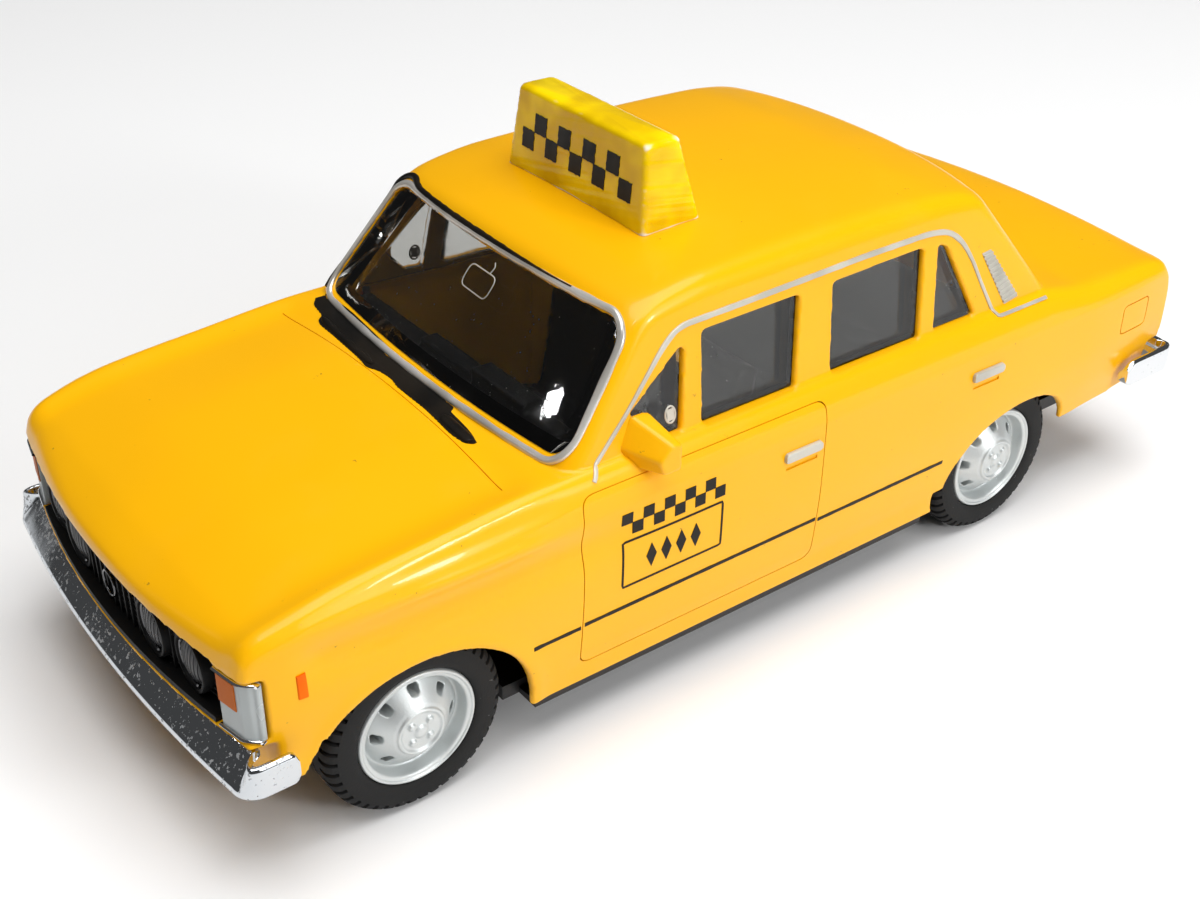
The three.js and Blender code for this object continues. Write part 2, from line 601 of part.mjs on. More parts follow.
const tailRecess = bothSides(
  prismZ(
    tailStrip(TAIL_LAMP_DEPTH + SLIP, -4, TAIL_LAMP_INNER_Y - SLIP, TAIL_LAMP_OUTER_Y + SLIP),
    TAIL_LAMP_FOOT_Z - SLIP, TAIL_LAMP_HEAD_Z + SLIP));

// Steps in the nose and tail where the bumpers lie, with a hole for each peg
const frontBed = prismZ(
  noseStrip(BUMPER_BED, -4, -SIDE_HALF, SIDE_HALF), -FAR, FRONT_BUMPER_FOOT_Z + BUMPER_HEIGHT + SLIP);
const rearBed = prismZ(
  tailStrip(BUMPER_BED, -4, -SIDE_HALF, SIDE_HALF), -FAR, REAR_BUMPER_FOOT_Z + BUMPER_HEIGHT + SLIP);
const pegZ = (foot) => foot + BUMPER_HEIGHT / 2;
function pegHoles(x0, x1, foot) {
  const half = PEG_HALF + SLIP;
  return bothSides(box(x0, x1, PEG_Y - half, PEG_Y + half, pegZ(foot) - half, pegZ(foot) + half));
}
const frontPegHoles = pegHoles(NOSE_X - noseSweep(PEG_Y) - BUMPER_BED - PEG_LENGTH, FRONT_X, FRONT_BUMPER_FOOT_Z);
const rearPegHoles = pegHoles(-FRONT_X, TAIL_X + tailSweep(PEG_Y) + BUMPER_BED + PEG_LENGTH, REAR_BUMPER_FOOT_Z);

// Screw posts and hinge lugs inside the shell
const FRONT_POST_X = FRONT_AXLE_X - FRONT_POST_BEHIND;
const REAR_POST_X = TAIL_X + REAR_POST_AHEAD;
const screwPlaces = [[FRONT_POST_X, BASE_FOOT_Z], [REAR_POST_X, BASE_TAIL_Z]];
const posts = joined(
  ...screwPlaces.map(([x, foot]) =>
    rodZ(x, 0, POST_RADIUS, foot + BASE_THICK + REST, deckHeight(x) - WALL / 2)));
const postHoles = joined(
  ...screwPlaces.map(([x, foot]) => rodZ(x, 0, SCREW_RADIUS + SLIP, -FAR, foot + BASE_THICK + SCREW_LENGTH)));
const LUG_HALF = KNUCKLE_HALF;
const PIN_FOOT_Z = SILL_Z + 0.7;
const PIN_HEAD_Z = BELT_Z - 0.2;
const lugs = bothSides(
  joined(
    box(HINGE_X - LUG_HALF, HINGE_X + LUG_HALF, HINGE_Y - LUG_DEPTH, HINGE_Y + 1, SILL_Z, DOOR_FOOT_Z),
    box(HINGE_X - LUG_HALF, HINGE_X + LUG_HALF, HINGE_Y - LUG_DEPTH, HINGE_Y + 0.2, DOOR_HEAD_Z, BELT_Z)));
const lugHoles = bothSides(
  rodZ(HINGE_X, HINGE_Y, PIN_RADIUS + PIN_SLIP, PIN_FOOT_Z - PIN_SLIP, PIN_HEAD_Z + PIN_SLIP, 8));

const cabinCavity = cabin(WALL, BELT_Z - 4);
const bodyShell = cut(
  cut(bodyOuter, lowerInner, cabinCavity).add(posts).add(lugs),
  postHoles,
  lugHoles,
  doorOpening,
  windscreenCut,
  backlightCut,
  ...sideWindows,
  prismY(halfArch(FRONT_AXLE_X - 0.3, FRONT_ARCH_HALF, FRONT_ARCH_RISE), -FAR, FAR),
  prismY(rearArch, -FAR, FAR),
  ...wells,
  grilleRecess,
  cornerRecess,
  tailRecess,
  frontBed,
  rearBed,
  frontPegHoles,
  rearPegHoles,
);

// Door: a panel of the same skin, with two knuckles round the hinge pin
const doorPlan = [
  [DOOR_REAR_X - 5, DOOR_INNER_Y],
  [DOOR_FRONT_X - DOOR_GAP, DOOR_INNER_Y],
  [DOOR_FRONT_X - DOOR_GAP, HINGE_Y + 0.8],
  [DOOR_FRONT_X - DOOR_GAP - DOOR_BEVEL, SIDE_HALF],
  [DOOR_FRONT_X - DOOR_GAP - DOOR_BEVEL, FAR],
  [DOOR_REAR_X - 5, FAR],
];
const doorPanel = cut(
  lowerOuter.intersect(prismY(doorOutline(DOOR_GAP), DOOR_INNER_Y, FAR)).intersect(prismZ(doorPlan, -FAR, FAR)),
  lowerInner,
);
const knuckle = (z) =>
  box(HINGE_X - KNUCKLE_HALF, HINGE_X + KNUCKLE_HALF, HINGE_Y - LUG_DEPTH, HINGE_Y + 1.2, z, z + KNUCKLE_HEIGHT);
const leftDoor = cut(
  joined(doorPanel, knuckle(DOOR_FOOT_Z + 1.4), knuckle(DOOR_HEAD_Z - 5.2)),
  rodZ(HINGE_X, HINGE_Y, PIN_RADIUS + PIN_SLIP, -FAR, FAR, 8),
);
const leftPin = rodZ(HINGE_X, HINGE_Y, PIN_RADIUS, PIN_FOOT_Z, PIN_HEAD_Z, 8);

// Mirror: a wedge of a housing that stands off the foot of the windscreen pillar
const MIRROR_X = DOOR_FRONT_X - MIRROR_SETBACK;
const MIRROR_FOOT_Z = DOOR_HEAD_Z + SLIP;
const MIRROR_INNER_Y = CABIN_HALF + SLIP + 0.15;
const mirrorRing = (z, front, back, inner, outer) =>
  [[front, inner], [front - 0.7, outer], [back, outer + 0.1], [back, inner]].map(
    ([x, y]) => new THREE.Vector3(x, y, z));
const leftMirror = loft([
  mirrorRing(MIRROR_FOOT_Z + 0.4, MIRROR_X - 0.8, MIRROR_X - MIRROR_LENGTH + 0.6, MIRROR_INNER_Y + 0.3,
    MIRROR_INNER_Y + MIRROR_REACH - 0.8),
  mirrorRing(MIRROR_FOOT_Z + 1.2, MIRROR_X - 0.2, MIRROR_X - MIRROR_LENGTH, MIRROR_INNER_Y,
    MIRROR_INNER_Y + MIRROR_REACH),
  mirrorRing(MIRROR_FOOT_Z + MIRROR_HEIGHT - 1.2, MIRROR_X, MIRROR_X - MIRROR_LENGTH + 0.3, MIRROR_INNER_Y - 0.4,
    MIRROR_INNER_Y + MIRROR_REACH),
  mirrorRing(MIRROR_FOOT_Z + MIRROR_HEIGHT, MIRROR_X - 0.7, MIRROR_X - MIRROR_LENGTH + 1, MIRROR_INNER_Y - 0.2,
    MIRROR_INNER_Y + MIRROR_REACH - 0.7),
]);

// Clear moulding behind every window
const GLASS_FOOT_Z = BELT_Z + 0.1;
const glazing = cut(cabin(WALL + SLIP, GLASS_FOOT_Z), cabin(WALL + SLIP + GLASS, GLASS_FOOT_Z - 2));

// Base plate with the axle saddles, wheel notches, exhaust and screw seats
const BASE_HALF = SIDE_HALF - 0.8 - WALL - BASE_SIDE_SLIP;
const WELL_INNER_Y = WHEEL_FACE_Y - TYRE_WIDTH - 1;
const BASE_FRONT_X = CAVITY_FRONT_X - 1.5;
const BASE_REAR_X = CAVITY_REAR_X + 1.5;
const basePlan = [
  [BASE_FRONT_X, -BASE_HALF + 1],
  [BASE_FRONT_X, BASE_HALF - 1],
  [BASE_REAR_X, BASE_HALF - 1.4],
  [BASE_REAR_X, -BASE_HALF + 1.4],
];
const baseUnderside = [
  [BASE_FRONT_X, BASE_NOSE_Z],
  [FRONT_AXLE_X + 5.4, BASE_NOSE_Z],
  [FRONT_AXLE_X + 3, BASE_FOOT_Z],
  [REAR_AXLE_X - 4.6, BASE_FOOT_Z],
  [REAR_AXLE_X - 9, BASE_TAIL_Z],
  [BASE_REAR_X, BASE_TAIL_Z],
];
const baseProfile = [...baseUnderside, ...[...baseUnderside].reverse().map(([x, z]) => [x, z + BASE_THICK])];
const flange = (y0, y1) =>
  box(FRONT_AXLE_X - FRONT_ARCH_HALF - 1, REAR_AXLE_X + 9.5, y0, y1, BASE_FOOT_Z, BASE_FOOT_Z + BASE_EDGE);
const saddle = (x, y) => {
  const z1 = AXLE_Z + AXLE_RADIUS + 1.2;
  const slot = AXLE_RADIUS + SLIP;
  return cut(
    box(x - SADDLE_HALF, x + SADDLE_HALF, y, y + SADDLE_WIDTH, BASE_FOOT_Z + 0.2, z1),
    box(x - slot, x + slot, y - 1, y + SADDLE_WIDTH + 1, AXLE_Z - slot, FAR));
};
const wheelNotch = (x) =>
  box(x - WELL_RADIUS - 0.6, x + WELL_RADIUS + 0.6, WELL_INNER_Y, FAR, -FAR, FAR);
const screwSeat = (x, foot) =>
  joined(
    rodZ(x, 0, SCREW_RADIUS + SLIP, -FAR, FAR),
    rodZ(x, 0, SCREW_HEAD_RADIUS + SLIP, -FAR, foot + SCREW_HEAD_HEIGHT));
// Room for the axle pinion below the motor
const pinionRoom = (z0, z1) => {
  const reach = (MODULE * PINION_TEETH) / 2 + MODULE + SLIP;
  return box(REAR_AXLE_X - reach, REAR_AXLE_X + reach, GEAR_Y - 0.4 - SLIP, GEAR_Y + GEAR_WIDTH + 0.4 + SLIP, z0, z1);
};
const EXHAUST_Y = -7.5;
const exhaust = joined(
  rodX(EXHAUST_Y, BASE_FOOT_Z, 0.7, REAR_AXLE_X - 2, FRONT_AXLE_X - 14, 8),
  rodX(EXHAUST_Y, BASE_FOOT_Z, 1.5, DOOR_REAR_X - 12, DOOR_REAR_X - 1, 8));
const chassisBase = cut(
  joined(
    prismY(baseProfile, -BASE_HALF, BASE_HALF).intersect(prismZ(basePlan, -FAR, FAR)),
    bothSides(flange(BASE_HALF - 3, SIDE_HALF - 1.2)),
    ...[FRONT_AXLE_X, REAR_AXLE_X].map((x) => bothSides(saddle(x, SADDLE_Y))),
    exhaust),
  bothSides(wheelNotch(FRONT_AXLE_X)),
  bothSides(wheelNotch(REAR_AXLE_X)),
  ...screwPlaces.map(([x, foot]) => screwSeat(x, foot)),
  pinionRoom(BASE_TOP_Z - 0.5, FAR),
);
const screw = ([x, foot]) =>
  joined(
    rodZ(x, 0, SCREW_HEAD_RADIUS, foot, foot + SCREW_HEAD_HEIGHT - REST),
    rodZ(x, 0, SCREW_RADIUS, foot + 0.2, foot + BASE_THICK + SCREW_LENGTH - 1, 8));

// Strap that keeps the front axle in its saddles
const SADDLE_HEAD_Z = AXLE_Z + AXLE_RADIUS + 1.2;
const keeper = joined(
  box(FRONT_AXLE_X - SADDLE_HALF, FRONT_AXLE_X + SADDLE_HALF, -SADDLE_Y - SADDLE_WIDTH, SADDLE_Y + SADDLE_WIDTH,
    SADDLE_HEAD_Z + REST, SADDLE_HEAD_Z + REST + 1),
  bothSides(
    box(FRONT_AXLE_X - AXLE_RADIUS, FRONT_AXLE_X + AXLE_RADIUS, SADDLE_Y + 0.3, SADDLE_Y + SADDLE_WIDTH - 0.3,
      AXLE_Z + AXLE_RADIUS + SLIP, SADDLE_HEAD_Z + 0.5)));

// Interior: floor, dash, two front seats and a rear bench with its shelf, moulded in one
const TUB_FOOT_Z = BASE_TOP_Z + REST;
const FLOOR_Z = TUB_FOOT_Z + TUB_FLOOR;
const DASH_X = SCREEN_FOOT_X - 6;
const CASE_FRONT_X = REAR_AXLE_X + 10.4;
const BENCH_BACK_X = CASE_FRONT_X + 0.6;
const seat = (x, y, width) =>
  prismY(
    [
      [x + 8.5, FLOOR_Z - 0.2], [x + 8.5, FLOOR_Z + 5.6], [x + 7.6, FLOOR_Z + 6.4], [x + 1.6, FLOOR_Z + 5.4],
      [x, FLOOR_Z + 17], [x - 1.2, FLOOR_Z + 17.6], [x - 2.4, FLOOR_Z + 17], [x - 1, FLOOR_Z - 0.2],
    ],
    y - width / 2, y + width / 2);
const SHELF_Z = BELT_Z - 3.2;
const interiorTub = joined(
  box(BENCH_BACK_X, DASH_X + 2, -TUB_HALF, TUB_HALF, TUB_FOOT_Z, FLOOR_Z),
  prismY(
    [
      [DASH_X + 2, TUB_FOOT_Z + 0.2], [DASH_X + 4.6, BELT_Z - 4.6], [DASH_X + 4.6, BELT_Z - 1.7], [DASH_X, BELT_Z - 2.2],
      [DASH_X - 0.8, BELT_Z - 4], [DASH_X + 0.4, BELT_Z - 7], [DASH_X + 1, TUB_FOOT_Z + 0.2],
    ],
    -DASH_HALF, DASH_HALF),
  seat(DOOR_REAR_X + 3.2, SEAT_Y, SEAT_WIDTH),
  seat(DOOR_REAR_X + 3.2, -SEAT_Y, SEAT_WIDTH),
  prismY(
    [
      [BENCH_BACK_X + 9, FLOOR_Z - 0.2], [BENCH_BACK_X + 9, FLOOR_Z + 5.4], [BENCH_BACK_X + 8, FLOOR_Z + 6.2],
      [BENCH_BACK_X + 3, FLOOR_Z + 5.4], [BENCH_BACK_X + 1.8, SHELF_Z], [BENCH_BACK_X + 0.8, SHELF_Z + 0.8],
      [BENCH_BACK_X - 14, SHELF_Z + 0.8], [BENCH_BACK_X - 14, SHELF_Z - 0.4], [BENCH_BACK_X, SHELF_Z - 0.4],
      [BENCH_BACK_X, FLOOR_Z - 0.2],
    ],
    -TUB_HALF, TUB_HALF),
);

// Steering wheel on its column, square to the dash
function steeringWheel() {
  const ring = solid(new THREE.TorusGeometry(WHEEL_RING_RADIUS, WHEEL_RING_WIRE, 6, 18));
  const hub = solid(new THREE.CylinderGeometry(0.9, 0.7, 1.2, 10).rotateX(Math.PI / 2));
  const spoke = solid(new THREE.BoxGeometry(2 * WHEEL_RING_RADIUS, 0.6, 0.4));
  const column = solid(new THREE.CylinderGeometry(0.45, 0.45, 2.4, 8).rotateX(Math.PI / 2).translate(0, 0, -1.5));
  return geometryOf(joined(ring, hub, spoke, column));
}

// Bumper: a bowed bar with returns along the sides and two pegs into the body
function bumperPlan(reach, wrap, bow) {
  const half = BUMPER_WIDTH / 2;
  const STEPS = 10;
  const side = (thick) => {
    const points = [];
    const r = BUMPER_CORNER - thick;
    const y1 = half - BUMPER_CORNER;
    const face = (y) => reach - thick - bow * (y / half) ** 2;
    for (let i = 0; i <= STEPS; i++) {
      const y = -y1 + (2 * y1 * i) / STEPS;
      points.push([face(y), y]);
    }
    const cx = face(y1) - r;
    for (let k = 1; k <= 3; k++) {
      const a = (Math.PI / 2) * (k / 3);
      points.push([cx + r * Math.cos(a), y1 + r * Math.sin(a)]);
      points.unshift([cx + r * Math.cos(a), -y1 - r * Math.sin(a)]);
    }
    points.push([reach - wrap, half - thick]);
    points.unshift([reach - wrap, thick - half]);
    return points;
  };
  return [...side(0), ...side(BUMPER_THICK).reverse()];
}
function bumper(reach, wrap, bow, foot) {
  const backX = reach - bow * (PEG_Y / (BUMPER_WIDTH / 2)) ** 2 - BUMPER_THICK;
  const peg = box(backX - PEG_LENGTH - 0.4, backX + 0.4, PEG_Y - PEG_HALF, PEG_Y + PEG_HALF,
    pegZ(foot) - PEG_HALF, pegZ(foot) + PEG_HALF);
  return joined(prismZ(bumperPlan(reach, wrap, bow), foot, foot + BUMPER_HEIGHT), bothSides(peg));
}
const frontBumper = bumper(FRONT_X, FRONT_WRAP, NOSE_BOW - 0.5, FRONT_BUMPER_FOOT_Z);
const rearBumper = solid(
  geometryOf(bumper(FRONT_X, REAR_WRAP, TAIL_BOW, REAR_BUMPER_FOOT_Z)).scale(-1, 1, 1));

// Grille panel with holes for the four round lamps
const LAMP_Z = GRILLE_FOOT_Z + GRILLE_HEIGHT / 2;
const lampPlaces = [["left_outer", LAMP_OUTER_Y], ["left_inner", LAMP_INNER_Y],
  ["right_inner", -LAMP_INNER_Y], ["right_outer", -LAMP_OUTER_Y]];
const grilleBackX = GRILLE_RECESS - REST;
const grille = cut(
  prismZ(noseStrip(grilleBackX, grilleBackX - GRILLE_DEPTH, -GRILLE_HALF, GRILLE_HALF), GRILLE_FOOT_Z, GRILLE_HEAD_Z),
  ...lampPlaces.map(([, y]) => rodX(y, LAMP_Z, LAMP_RADIUS + SLIP, 0, FAR * 2)));
const headlamp = (y) => {
  const back = NOSE_X - noseSweep(Math.abs(y) - LAMP_RADIUS) - grilleBackX;
  const front = NOSE_X - noseSweep(y) - grilleBackX + GRILLE_DEPTH;
  return joined(
    rodX(y, LAMP_Z, LAMP_RADIUS, back, front), rodX(y, LAMP_Z, LAMP_RADIUS * 0.7, back, front + 0.4));
};

// Corner lamp wrapping from the front to the side, and tail lamp
const wingY = (x) => sideHalf(x) - 0.25;
const CORNER_INNER_Y = GRILLE_HALF + 2 * SLIP;
const cornerFront = (y) => NOSE_X - noseSweep(y) - 0.2;
const CORNER_TURN_Y = CORNER_INNER_Y + CORNER_LAMP_WIDTH - 0.9;
const cornerLamp = prismZ(
  [
    [CORNER_BACK_X, CORNER_INNER_Y],
    [cornerFront(CORNER_INNER_Y), CORNER_INNER_Y],
    [cornerFront(CORNER_TURN_Y), CORNER_TURN_Y],
    [cornerFront(CORNER_TURN_Y) - 0.5, CORNER_TURN_Y + 0.65],
    [CORNER_BACK_X + CORNER_LAMP_LENGTH - 1.8, wingY(CORNER_BACK_X)],
    [CORNER_BACK_X, wingY(CORNER_BACK_X)],
  ],
  GRILLE_FOOT_Z, GRILLE_HEAD_Z);
const tailLamp = prismZ(
  tailStrip(TAIL_LAMP_DEPTH, -0.25, TAIL_LAMP_INNER_Y, TAIL_LAMP_OUTER_Y, 3), TAIL_LAMP_FOOT_Z, TAIL_LAMP_HEAD_Z);

// Roof sign: a tapered block cut to the curve of the roof
const SIGN_FRONT_X = SCREEN_FOOT_X - SIGN_SETBACK;
const signRing = (z, front, back, half) =>
  [[front, -half], [front, half], [back, half], [back, -half]].map(([x, y]) => new THREE.Vector3(x, y, z));
const SIGN_TOP_Z = roofLine(SIGN_FRONT_X) + SIGN_HEIGHT;
const signTopFront = SIGN_FRONT_X - SIGN_LEAN;
const signTopHalf = SIGN_LENGTH / 2 - SIGN_END_LEAN;
const seatTool = solid(geometryOf(cabinOuter).translate(0, 0, REST));
const roofSign = cut(
  loft([
    signRing(ROOF_Z - 2, SIGN_FRONT_X, SIGN_FRONT_X - SIGN_DEPTH, SIGN_LENGTH / 2),
    signRing(SIGN_TOP_Z - 0.5, signTopFront, signTopFront - SIGN_TOP_DEPTH, signTopHalf),
    signRing(SIGN_TOP_Z, signTopFront - 0.6, signTopFront - SIGN_TOP_DEPTH + 0.6, signTopHalf - 0.6),
  ]),
  seatTool);

// Wheels, drawn on the left and turned about Y
const RIM_FACE_Y = WHEEL_FACE_Y - 0.25;
const RIM_BACK_Y = WHEEL_FACE_Y - TYRE_WIDTH + 0.5;
const BORE_RADIUS = AXLE_RADIUS + 0.2;
const rimProfile = [
  [BORE_RADIUS, RIM_BACK_Y],
  [BORE_RADIUS + 1, RIM_BACK_Y],
  [BORE_RADIUS + 1, RIM_FACE_Y - 2.6],
  [RIM_RADIUS - 0.9, RIM_FACE_Y - 2.6],
  [RIM_RADIUS - 0.9, RIM_BACK_Y],
  [RIM_RADIUS, RIM_BACK_Y],
  [RIM_RADIUS, RIM_FACE_Y - 0.3],
  [RIM_RADIUS - 0.3, RIM_FACE_Y],
  [RIM_RADIUS - 0.6, RIM_FACE_Y - 0.1],
  [RIM_RADIUS - 0.85, RIM_FACE_Y - 1.3],
  [RIM_RADIUS - 2.3, RIM_FACE_Y - 1],
  [RIM_RADIUS - 2.8, RIM_FACE_Y - 1.4],
  [BORE_RADIUS, RIM_FACE_Y - 1.4],
];
const tyreBore = RIM_RADIUS + 0.25;
const tyreInner = WHEEL_FACE_Y - TYRE_WIDTH;
const tyreProfile = [
  [tyreBore, tyreInner + 0.3],
  [TYRE_RADIUS - 1.4, tyreInner],
  [TYRE_RADIUS - 0.4, tyreInner + 0.3],
  [TYRE_RADIUS, tyreInner + 1],
  [TYRE_RADIUS, WHEEL_FACE_Y - 1],
  [TYRE_RADIUS - 0.4, WHEEL_FACE_Y - 0.3],
  [TYRE_RADIUS - 1.4, WHEEL_FACE_Y],
  [tyreBore, WHEEL_FACE_Y - 0.3],
];
function rim(x) {
  const vents = Array.from({ length: VENT_COUNT }, (_, k) => {
    const a = (2 * Math.PI * (k + 0.5)) / VENT_COUNT;
    const [vx, vz] = [x + VENT_CIRCLE * Math.cos(a), AXLE_Z + VENT_CIRCLE * Math.sin(a)];
    return rodY(vx, vz, VENT_RADIUS, RIM_BACK_Y, FAR, 6);
  });
  return cut(turned(rimProfile, x, AXLE_Z, RIM_FACETS), ...vents);
}
const tyre = (x) => turned(tyreProfile, x, AXLE_Z, TYRE_FACETS);
const axleHalf = RIM_FACE_Y - 1.6;
const axle = (x) => rodY(x, AXLE_Z, AXLE_RADIUS, -axleHalf, axleHalf, 10);

// Gear outline with slim straight teeth, a tooth at the given angle
function gearOutline(teeth, x, z, angle) {
  const pitch = (MODULE * teeth) / 2;
  const [root, tip] = [pitch - 1.2 * MODULE, pitch + 0.85 * MODULE];
  const step = (2 * Math.PI) / teeth;
  const marks = [[-0.27, root], [-0.1, tip], [0.1, tip], [0.27, root]];
  const points = [];
  for (let t = 0; t < teeth; t++) {
    marks.forEach(([share, r]) => {
      const a = angle + (t + share) * step;
      points.push([x + r * Math.cos(a), z + r * Math.sin(a)]);
    });
  }
  return points;
}
const gearTurn = (GEAR_ANGLE * Math.PI) / 180;
const GEAR_SPREAD = (MODULE * (PINION_TEETH + GEAR_TEETH)) / 2;
const SHAFT_X = REAR_AXLE_X + GEAR_SPREAD * Math.cos(gearTurn);
const SHAFT_Z = AXLE_Z + GEAR_SPREAD * Math.sin(gearTurn);
const axlePinion = cut(
  prismY(gearOutline(PINION_TEETH, REAR_AXLE_X, AXLE_Z, gearTurn), GEAR_Y - 0.4, GEAR_Y + GEAR_WIDTH + 0.4),
  rodY(REAR_AXLE_X, AXLE_Z, AXLE_RADIUS + 0.15, -FAR, FAR, 10));
const windingGear = cut(
  prismY(
    gearOutline(GEAR_TEETH, SHAFT_X, SHAFT_Z, gearTurn + Math.PI + Math.PI / GEAR_TEETH), GEAR_Y, GEAR_Y + GEAR_WIDTH),
  rodY(SHAFT_X, SHAFT_Z, SHAFT_RADIUS + 0.15, -FAR, FAR, 10));
const drumY = GEAR_Y + GEAR_WIDTH + SLIP;
const springDrum = cut(
  rodY(SHAFT_X, SHAFT_Z, DRUM_RADIUS, drumY, drumY + DRUM_WIDTH, 18),
  rodY(SHAFT_X, SHAFT_Z, SHAFT_RADIUS + 0.15, -FAR, FAR, 10));
const windingShaft = rodY(SHAFT_X, SHAFT_Z, SHAFT_RADIUS, -CASE_HALF + 0.2, CASE_HALF - 0.2, 10);

// Motor case, open below, and the cover that closes it
const COVER_Z = BASE_TOP_Z + REST;
const CASE_FOOT_Z = COVER_Z + 0.9;
const CASE_REAR_X = REAR_AXLE_X - 4.2;
const CASE_HEAD_Z = SHAFT_Z + (MODULE * GEAR_TEETH) / 2 + 2;
const axleSlot = AXLE_RADIUS + SLIP;
const motorCase = cut(
  box(CASE_REAR_X, CASE_FRONT_X, -CASE_HALF, CASE_HALF, CASE_FOOT_Z, CASE_HEAD_Z),
  box(CASE_REAR_X + CASE_WALL, CASE_FRONT_X - CASE_WALL, -CASE_HALF + CASE_WALL, CASE_HALF - CASE_WALL,
    -FAR, CASE_HEAD_Z - CASE_WALL),
  box(REAR_AXLE_X - axleSlot, REAR_AXLE_X + axleSlot, -FAR, FAR, -FAR, AXLE_Z + axleSlot),
  rodY(SHAFT_X, SHAFT_Z, SHAFT_RADIUS + SLIP, -FAR, FAR, 10));
const motorCover = joined(
  cut(box(CASE_REAR_X, CASE_FRONT_X, -CASE_HALF, CASE_HALF, COVER_Z, CASE_FOOT_Z - REST), pinionRoom(-FAR, FAR)),
  bothSides(
    box(REAR_AXLE_X - AXLE_RADIUS, REAR_AXLE_X + AXLE_RADIUS, CASE_HALF - CASE_WALL + 0.1, CASE_HALF - 0.1,
      COVER_Z + 0.2, AXLE_Z - AXLE_RADIUS - SLIP)));

// Finishes
const PAINT = { color: 0xf6b914, roughness: 0.3, metalness: 0 };
const BLACK_PLASTIC = { color: 0x17181a, roughness: 0.55, metalness: 0 };
const CLEAR_PLASTIC = { color: 0xb8c0c4, roughness: 0.08, metalness: 0, transparent: true, opacity: 0.35 };
const CHROME = { color: 0xd6d8da, roughness: 0.12, metalness: 1 };
const SILVER = { color: 0xb9bdc1, roughness: 0.35, metalness: 0.8 };
const RUBBER = { color: 0x151515, roughness: 0.85, metalness: 0 };
const STEEL = { color: 0x9a9da0, roughness: 0.3, metalness: 1 };
const ORANGE = { color: 0xd9762a, roughness: 0.2, metalness: 0 };
const RED = { color: 0xb3211c, roughness: 0.2, metalness: 0 };
const LEMON = { color: 0xe9d41c, roughness: 0.3, metalness: 0 };
const NYLON = { color: 0xe4e0d2, roughness: 0.5, metalness: 0 };

const car = new THREE.Group();
function place(name, shape, finish) {
  const geometry = shape.isBufferGeometry ? shape : geometryOf(shape);
  const mesh = new THREE.Mesh(geometry, new THREE.MeshStandardMaterial(finish));
  mesh.name = name;
  car.add(mesh);
  return mesh;
}
function placePair(name, left, finish) {
  place(`left_${name}`, left, finish);
  place(`right_${name}`, mirrored(left), finish);
}

place("body_shell", bodyShell, PAINT);
placePair("door", leftDoor, PAINT);
placePair("hinge_pin", leftPin, STEEL);
placePair("mirror", leftMirror, PAINT);
place("glazing", glazing, CLEAR_PLASTIC);
place("interior_tub", interiorTub, BLACK_PLASTIC);
const steering = place("steering_wheel", steeringWheel(), BLACK_PLASTIC);
steering.position.set(DASH_X - 3.6, SEAT_Y, BELT_Z - 3.6);
steering.rotation.y = -Math.PI / 2 + 0.35;
place("chassis_base", chassisBase, BLACK_PLASTIC);
place("front_axle_keeper", keeper, BLACK_PLASTIC);
place("front_screw", screw(screwPlaces[0]), STEEL);
place("rear_screw", screw(screwPlaces[1]), STEEL);
[["front", FRONT_AXLE_X], ["rear", REAR_AXLE_X]].forEach(([end, x]) => {
  place(`${end}_axle`, axle(x), STEEL);
  place(`${end}_left_rim`, rim(x), SILVER);
  place(`${end}_right_rim`, mirrored(rim(x)), SILVER);
  place(`${end}_left_tyre`, tyre(x), RUBBER);
  place(`${end}_right_tyre`, mirrored(tyre(x)), RUBBER);
});
place("motor_case", motorCase, NYLON);
place("motor_cover", motorCover, NYLON);
place("axle_pinion", axlePinion, NYLON);
place("winding_gear", windingGear, NYLON);
place("spring_drum", springDrum, NYLON);
place("winding_shaft", windingShaft, STEEL);
place("front_bumper", frontBumper, CHROME);
place("rear_bumper", rearBumper, CHROME);
place("grille", grille, BLACK_PLASTIC);
lampPlaces.forEach(([side, y]) => place(`${side}_headlamp`, headlamp(y), CLEAR_PLASTIC));
placePair("corner_lamp", cornerLamp, ORANGE);
placePair("tail_lamp", tailLamp, RED);
place("roof_sign", roofSign, LEMON);

export default car;
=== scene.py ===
"""Looks of a die-cast toy taxi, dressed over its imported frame.

Shapes are drawn in millimetres in the frame of the model, X forward, Y to the left, Z up and the
tyres on Z = 0, and are scaled to metres when a piece is placed.
"""
import math

import bmesh
import bpy
import numpy as np
from mathutils import Matrix, Vector
from mathutils.interpolate import poly_3d_calc
from mathutils.bvhtree import BVHTree
from mathutils.kdtree import KDTree


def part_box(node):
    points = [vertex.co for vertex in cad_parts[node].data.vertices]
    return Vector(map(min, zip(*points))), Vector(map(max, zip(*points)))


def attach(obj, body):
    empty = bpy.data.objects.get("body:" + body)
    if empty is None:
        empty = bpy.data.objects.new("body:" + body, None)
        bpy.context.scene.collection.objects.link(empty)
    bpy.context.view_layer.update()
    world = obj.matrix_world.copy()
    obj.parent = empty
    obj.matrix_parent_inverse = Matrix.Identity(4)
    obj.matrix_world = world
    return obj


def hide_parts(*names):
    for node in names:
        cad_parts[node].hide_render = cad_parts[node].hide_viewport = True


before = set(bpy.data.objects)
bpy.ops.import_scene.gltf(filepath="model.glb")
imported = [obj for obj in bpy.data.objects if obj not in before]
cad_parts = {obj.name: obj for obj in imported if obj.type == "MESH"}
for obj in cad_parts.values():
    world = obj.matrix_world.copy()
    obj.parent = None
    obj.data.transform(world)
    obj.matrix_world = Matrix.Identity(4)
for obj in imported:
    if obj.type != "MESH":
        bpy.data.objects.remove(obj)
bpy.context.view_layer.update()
MM = 0.001
SIDES = {"left": 1, "right": -1}


